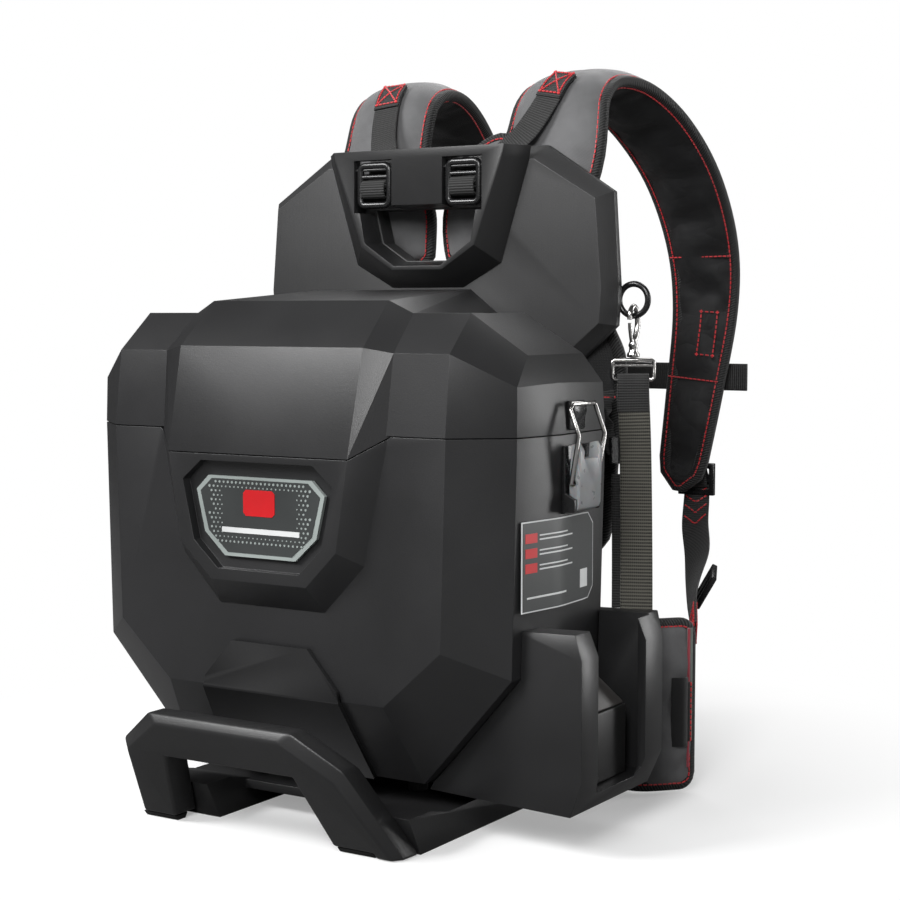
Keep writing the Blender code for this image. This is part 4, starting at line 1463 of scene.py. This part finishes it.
@dataclass
class Hip(Assembly):
    """One padded hip wing with its belt webbing."""

    side: Side = Side.RIGHT

    def build(self) -> None:
        """Makes the wing, its tapes, loops and belt."""
        tag, sign = self.side.tag, self.side.value
        plan = curve_through([(155, 277.5), (176, 268), (195, 268.5), (217, 290), (222.5, 296.5)], 6)
        track = Track.of([self.datum(sign * x, y, 75) for x, y in plan], (0, 0, 1))
        faces = (PADDING, SHELL) if sign > 0 else (SHELL, PADDING)
        count = len(plan)
        cushion = Cushion(f"wing_cushion_{tag}", track, [0.140] * count, [0.0155] * count, "pack",
                          (f"hip_wing_{tag}",), faces, ends=(0.002, 0.008), count=17)
        cushion.make()
        path, ups = cushion.rim()
        lines = Binding(0.0066, 0.0042).bind(f"wing_binding_{tag}", path, ups, "pack")
        front = 1 if sign > 0 else -1
        piping = [track.spot(count - 4, a, front * 0.0074) for a in np.linspace(-0.052, 0.064, 24)]
        pipe(f"wing_piping_{tag}", piping, 0.0013, "pack", ROSE, across=(1, 0, 0), sides=8)
        edge = [track.spot(count - 2, a, front * 0.0058) for a in np.linspace(-0.03, 0.064, 20)]
        Strap(f"wing_strip_{tag}", edge, tuple(track.along[count - 2]), 5.5, 1.0, REFLECTIVE).make()
        inner = 34.4 if sign > 0 else 48.4
        waist = curve_through([(199, 312), (171, 329.5), (130, 345), (80, 351.5), (inner, 352)], 6)
        belt = self.datum.line([(x, y, 52) for x, y in waist], sign)
        body = "pack" if sign > 0 else "hip_tongue"
        Strap(f"belt_webbing_{tag}", belt, (0, 0, 1), HIP_WEB, 2.2, body=body,
              nodes=(f"hip_webbing_{tag}",)).make()
        tab = [track.spot(i, -0.005, front * 0.0088) for i in range(count - 9, count - 1)]
        Strap(f"wing_band_{tag}", tab, (0, 0, 1), HIP_WEB, 1.6).make()
        rises = (0.0, 0.0022, 0.003, 0.0022, 0.0)
        loop = [track.spot(i, -0.005, front * (0.0088 + rise)) for i, rise in enumerate(rises, count - 9)]
        Strap(f"wing_elastic_{tag}", loop, (0, 0, 1), 58.0, 1.4, ELASTIC).make()
        lines += [[track.spot(count - 3, a, front * 0.0098) for a in np.linspace(-0.028, 0.018, 12)]]
        Stitcher().sew(f"wing_stitches_{tag}", lines, "pack")


@dataclass
class Clasps(Assembly):
    """The sternum and hip buckles, each a housing and its sliding tongue."""

    def build(self) -> None:
        """Makes both buckles and the sternum webbing."""
        for name in ("sternum", "hip"):
            bevelled(f"{name}_buckle_female", "pack", BUCKLE, 1.2)
            bevelled(f"{name}_buckle_male", f"{name}_tongue", BUCKLE, 1.2)
        for side, reach, start in ((Side.RIGHT, 188, 24.4), (Side.LEFT, 110, 38.4)):
            route = self.datum.line([(x, 493.5, 339) for x in np.linspace(start, reach, 12)], side.value)
            body = "pack" if side is Side.RIGHT else "sternum_tongue"
            Strap(f"sternum_webbing_{side.tag}", route, (0, 0, 1), WEB, 2.2, body=body,
                  nodes=(f"sternum_strap_{side.tag}",)).make()


@dataclass
class Hanger(Assembly):
    """The hanging strap with its eye and snap, and the ring that the snap clips to."""

    centre: Point = (184.0, 269.0, 409.0)
    facing: Point = (0.85, 0.53, 0.0)

    def build(self) -> None:
        """Makes the ring, the snap, the eye and the straps."""
        x, y, z = self.centre
        ring = [self.datum(x + 13 * c, y, z + 13 * s) for c, s in round_section(1.0, 40)]
        pipe("ring_wire", ring, 0.0025, "pack", BUCKLE, ("harness_ring",), (0, 1, 0), True)
        bend = ((0, 374), (4.5, 380), (7.6, 389), (6, 399.5), (0, 403.8), (-6, 399), (-7, 393))
        hook = self.datum.line([(x, y + a, b) for a, b in curve_through(bend, 6)])
        pipe("snap_wire", hook, lambda i: (2.5 - 0.5 * i / len(hook)) * MM, "snap", CHROME, ("snap_hook",))
        turned = ((2.0, 361.8), (5.0, 362.4), (5.3, 363.6), (5.2, 365), (3.6, 367), (3.4, 370), (4.1, 372),
                  (3.2, 374.5), (2.3, 377))
        rows = [[self.datum(x + r * c, y + r * s, b) for c, s in round_section(1.0, 24)] for r, b in turned]
        finished("snap_body", Grid(rows).mesh("snap_body"), [CHROME], "snap", (), 40.0)
        gate = self.datum.line([(x, 265.7, 375.5), (x, 264.2, 380), (x, 262.8, 385.5), (x, 262.4, 390.2)])
        pipe("gate_wire", gate, 0.0015, "gate", CHROME, ("snap_gate",))
        self.eye()
        self.straps()

    def flat(self, a: float, z: float, lift: float = 0.0) -> Vector:
        """A point in the eye's plane.

        Args:
            a: how far across it, in millimetres.
            z: its height.
            lift: how far it stands from the plane towards the front.

        Returns:
            The point.
        """
        x, y, _ = self.centre
        fx, fy, _ = self.facing
        return self.datum(x + fx * a + fy * lift, y + fy * a - fx * lift, z)

    def eye(self) -> None:
        """The rectangular eye with its second top bar."""
        half = ((15.5, -8), (17, -6.5), (17, 6.5), (15.5, 8))
        loop = [self.flat(a, 352 + b) for a, b in (*half, *((-a, b) for a, b in reversed(half)))]
        aside = (self.facing[1], -self.facing[0], 0)
        pipe("eye_wire", loop, 0.0017, "pack", CHROME, ("snap_eye",), aside, True)
        bar = [self.flat(a, 355.5) for a in (-16.5, 16.5)]
        pipe("eye_bar", bar, 0.0012, "pack", CHROME, (), aside)

    def straps(self) -> None:
        """The hanging strap, its folded head, the second ply, the slider and the twisted tail."""
        stops = [(184, 269, 341), (190, 262, 290), (201, 243, 220), (211, 224, 150), (212, 220, 112)]
        route = self.datum.line(curve_through(stops, 9))
        web = Strap("hanging_webbing", route, self.facing, 26.0, 2.4, OLIVE, nodes=("hanging_strap",))
        track = web.make()
        head = [self.flat(0, b, a) for a, b in (
            (2.6, 316), (2.6, 330), (2.9, 341), (1.8, 346.6), (0, 348.2), (-1.8, 346.6), (-2.9, 341),
            (-2.6, 330), (-2.6, 318),
        )]
        shift = (route[3] - self.flat(0, 322)) * 0.6
        head[0], head[-1] = head[0] + shift, head[-1] + shift
        Strap("hanging_head", head, self.facing, 26.0, 1.8).make()
        ply = [track.spot(i, -0.007, -0.003) for i in range(12, 26)]
        Strap("hanging_ply", ply, self.facing, 25.0, 1.8).make()
        slider = [track.spot(i, -0.017, 0.0015) for i in range(8, 12)]
        Strap("hanging_slider", slider, self.facing, 9.0, 5.0, BUCKLE).make()
        loose = (track.spot(i, -0.021 - 0.002 * (i % 2), 0.001) for i in range(2, 11))
        tail = [track.spot(1, -0.021, 0), *loose]
        turns = [(math.cos(0.55 * i), math.sin(0.55 * i), 0.15) for i in range(len(tail))]
        Strap("hanging_tail", tail, turns, 11.0, 1.8).make()
        lines = [[track.spot(2, -0.026, 0.0012), track.spot(2, -0.016, 0.0012)]]
        Stitcher(0.0022, 0.0021, 0.0009).sew("hanging_stitches", lines, "pack")


# ---------------------------------------------------------------- studio

@dataclass
class Studio(Assembly):
    """The camera, a pale floor and soft lights."""

    seat: Point = (866.12, -1087.59, 400.0)
    tilt: Pair = (85.69, 32.36)
    lens: float = 73.8

    def camera(self) -> None:
        """Sets the camera."""
        data = bpy.data.cameras.new("camera")
        data.lens, data.sensor_width = self.lens, 36.0
        data.clip_start, data.clip_end = 0.05, 50.0
        camera = bpy.data.objects.new("camera", data)
        camera.location = self.datum(*self.seat)
        camera.rotation_euler = (math.radians(self.tilt[0]), 0, math.radians(self.tilt[1]))
        bpy.context.scene.collection.objects.link(camera)
        bpy.context.scene.camera = camera

    def lamp(self, name: str, place: Point, aim: Point, size: Pair, power: float) -> None:
        """Adds a soft rectangular light.

        Args:
            name: the light's name.
            place: where it hangs, in metres.
            aim: what it points at, in metres.
            size: its width and height in metres.
            power: its power in watts.
        """
        data = bpy.data.lights.new(name, "AREA")
        data.shape, data.size, data.size_y, data.energy = "RECTANGLE", *size, power
        light = bpy.data.objects.new(name, data)
        light.location = place
        light.rotation_euler = (Vector(aim) - Vector(place)).to_track_quat("-Z", "Y").to_euler()
        bpy.context.scene.collection.objects.link(light)

    def build(self) -> None:
        """Lays the floor and hangs the lights."""
        bm = bmesh.new()
        bmesh.ops.create_grid(bm, x_segments=2, y_segments=2, size=6.0)
        mesh = bpy.data.meshes.new("floor")
        bm.to_mesh(mesh)
        bm.free()
        floor = scratch(mesh)
        mesh.materials.append(self.paper())
        self.sky()
        scene = bpy.context.scene
        scene.view_settings.view_transform = "Standard"
        self.lamp("key", (-1.5, -2.2, 2.25), (0, 0, 0.35), (1.3, 1.2), 118.0)
        self.lamp("front", (0.9, -2.4, 1.7), (0, 0, 0.45), (1.0, 1.2), 66.0)
        self.lamp("rim", (1.75, 1.7, 0.7), (0.15, 0.05, 0.35), (0.45, 1.5), 22.0)
        self.lamp("side", (2.3, -0.7, 0.9), (0.2, 0, 0.35), (0.5, 1.7), 6.0)
        self.lamp("top", (-0.2, 1.1, 2.0), (0, 0.2, 0.45), (1.6, 1.0), 20.0)

    def paper(self) -> bpy.types.Material:
        """White paper that washes out to plain white away from the unit: a painted glow, seen only by the
        camera and stronger further out, is mixed in, and it also lifts the real shadow under the unit to a
        pale one; to other rays the paper is dark grey, so it gives little bounce.
        """
        shader = Shader("floor paper", Base_Color=(0.9, 0.9, 0.9, 1), Roughness=0.9, Specular_IOR_Level=0.0)
        tree = shader.tree
        glow, mix = shader.add("ShaderNodeEmission"), shader.add("ShaderNodeMixShader")
        span = shader.add("ShaderNodeVectorMath", operation="LENGTH")
        path = shader.add("ShaderNodeLightPath")
        tree.links.new(shader.place, span.inputs[0])
        wash = shader.add("ShaderNodeMapRange", interpolation_type="SMOOTHSTEP")
        shader.feed(wash, span.outputs["Value"], 0.20, 0.56, 0.30, 1.0)
        # Painted light: the share of white glow the camera sees, 0.3 under the unit rising to 1 far off,
        # which lightens the shadow there.
        painted_glow_share = shader.math("MULTIPLY", wash.outputs[0], path.outputs["Is Camera Ray"])
        shader.wire("Base Color", shader.span(path.outputs["Is Camera Ray"], 0.20, 0.9))
        out = next(n for n in tree.nodes if n.type == "OUTPUT_MATERIAL")
        wired(tree, (painted_glow_share, mix.inputs[0]), (shader.surface.outputs[0], mix.inputs[1]),
              (glow.outputs[0], mix.inputs[2]), (mix.outputs[0], out.inputs[0]))
        return shader.material

    def sky(self) -> None:
        """A world that is plain white to the camera and graded, dark overhead, to the light it gives."""
        world = bpy.data.worlds.new("studio")
        world.use_nodes = True
        tree = world.node_tree
        paper, glow = tree.nodes["Background"], tree.nodes.new("ShaderNodeBackground")
        mix, path = tree.nodes.new("ShaderNodeMixShader"), tree.nodes.new("ShaderNodeLightPath")
        kinds = ("TexCoord", "SeparateXYZ", "ValToRGB")
        place, split, fade = (tree.nodes.new(f"ShaderNode{kind}") for kind in kinds)
        paper.inputs[0].default_value = (1, 1, 1, 1)
        paper.inputs[1].default_value = 1.0
        glow.inputs[1].default_value = 1.0
        stops = fade.color_ramp.elements
        stops.new(0.25)
        for stop, place_at, grey in zip(stops, (0.0, 0.25, 0.7), (0.08, 0.11, 0.07)):
            stop.position, stop.color = place_at, (grey, grey, grey, 1)
        wired(
            tree, (place.outputs["Generated"], split.inputs[0]), (split.outputs["Z"], fade.inputs[0]),
            (fade.outputs[0], glow.inputs[0]), (path.outputs["Is Camera Ray"], mix.inputs[0]),
            (glow.outputs[0], mix.inputs[1]), (paper.outputs[0], mix.inputs[2]),
            (mix.outputs[0], tree.nodes["World Output"].inputs[0]),
        )
        bpy.context.scene.world = world


def main() -> None:
    """Builds the studio and every sub-assembly, and reports each piece."""
    logging.basicConfig(level=logging.INFO, format="%(message)s")
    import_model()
    datum = Datum()
    Studio(datum).camera()
    parts: list[Assembly] = [make(datum) for make in (Case, Dock, Chassis, Back, Clasps, Hanger)]
    for side in Side:
        parts += [Latch(datum, side), Shoulder(datum, side), Hip(datum, side)]
    for part in [*parts, Studio(datum)]:
        part.build()


if __name__ == "__main__":
    main()
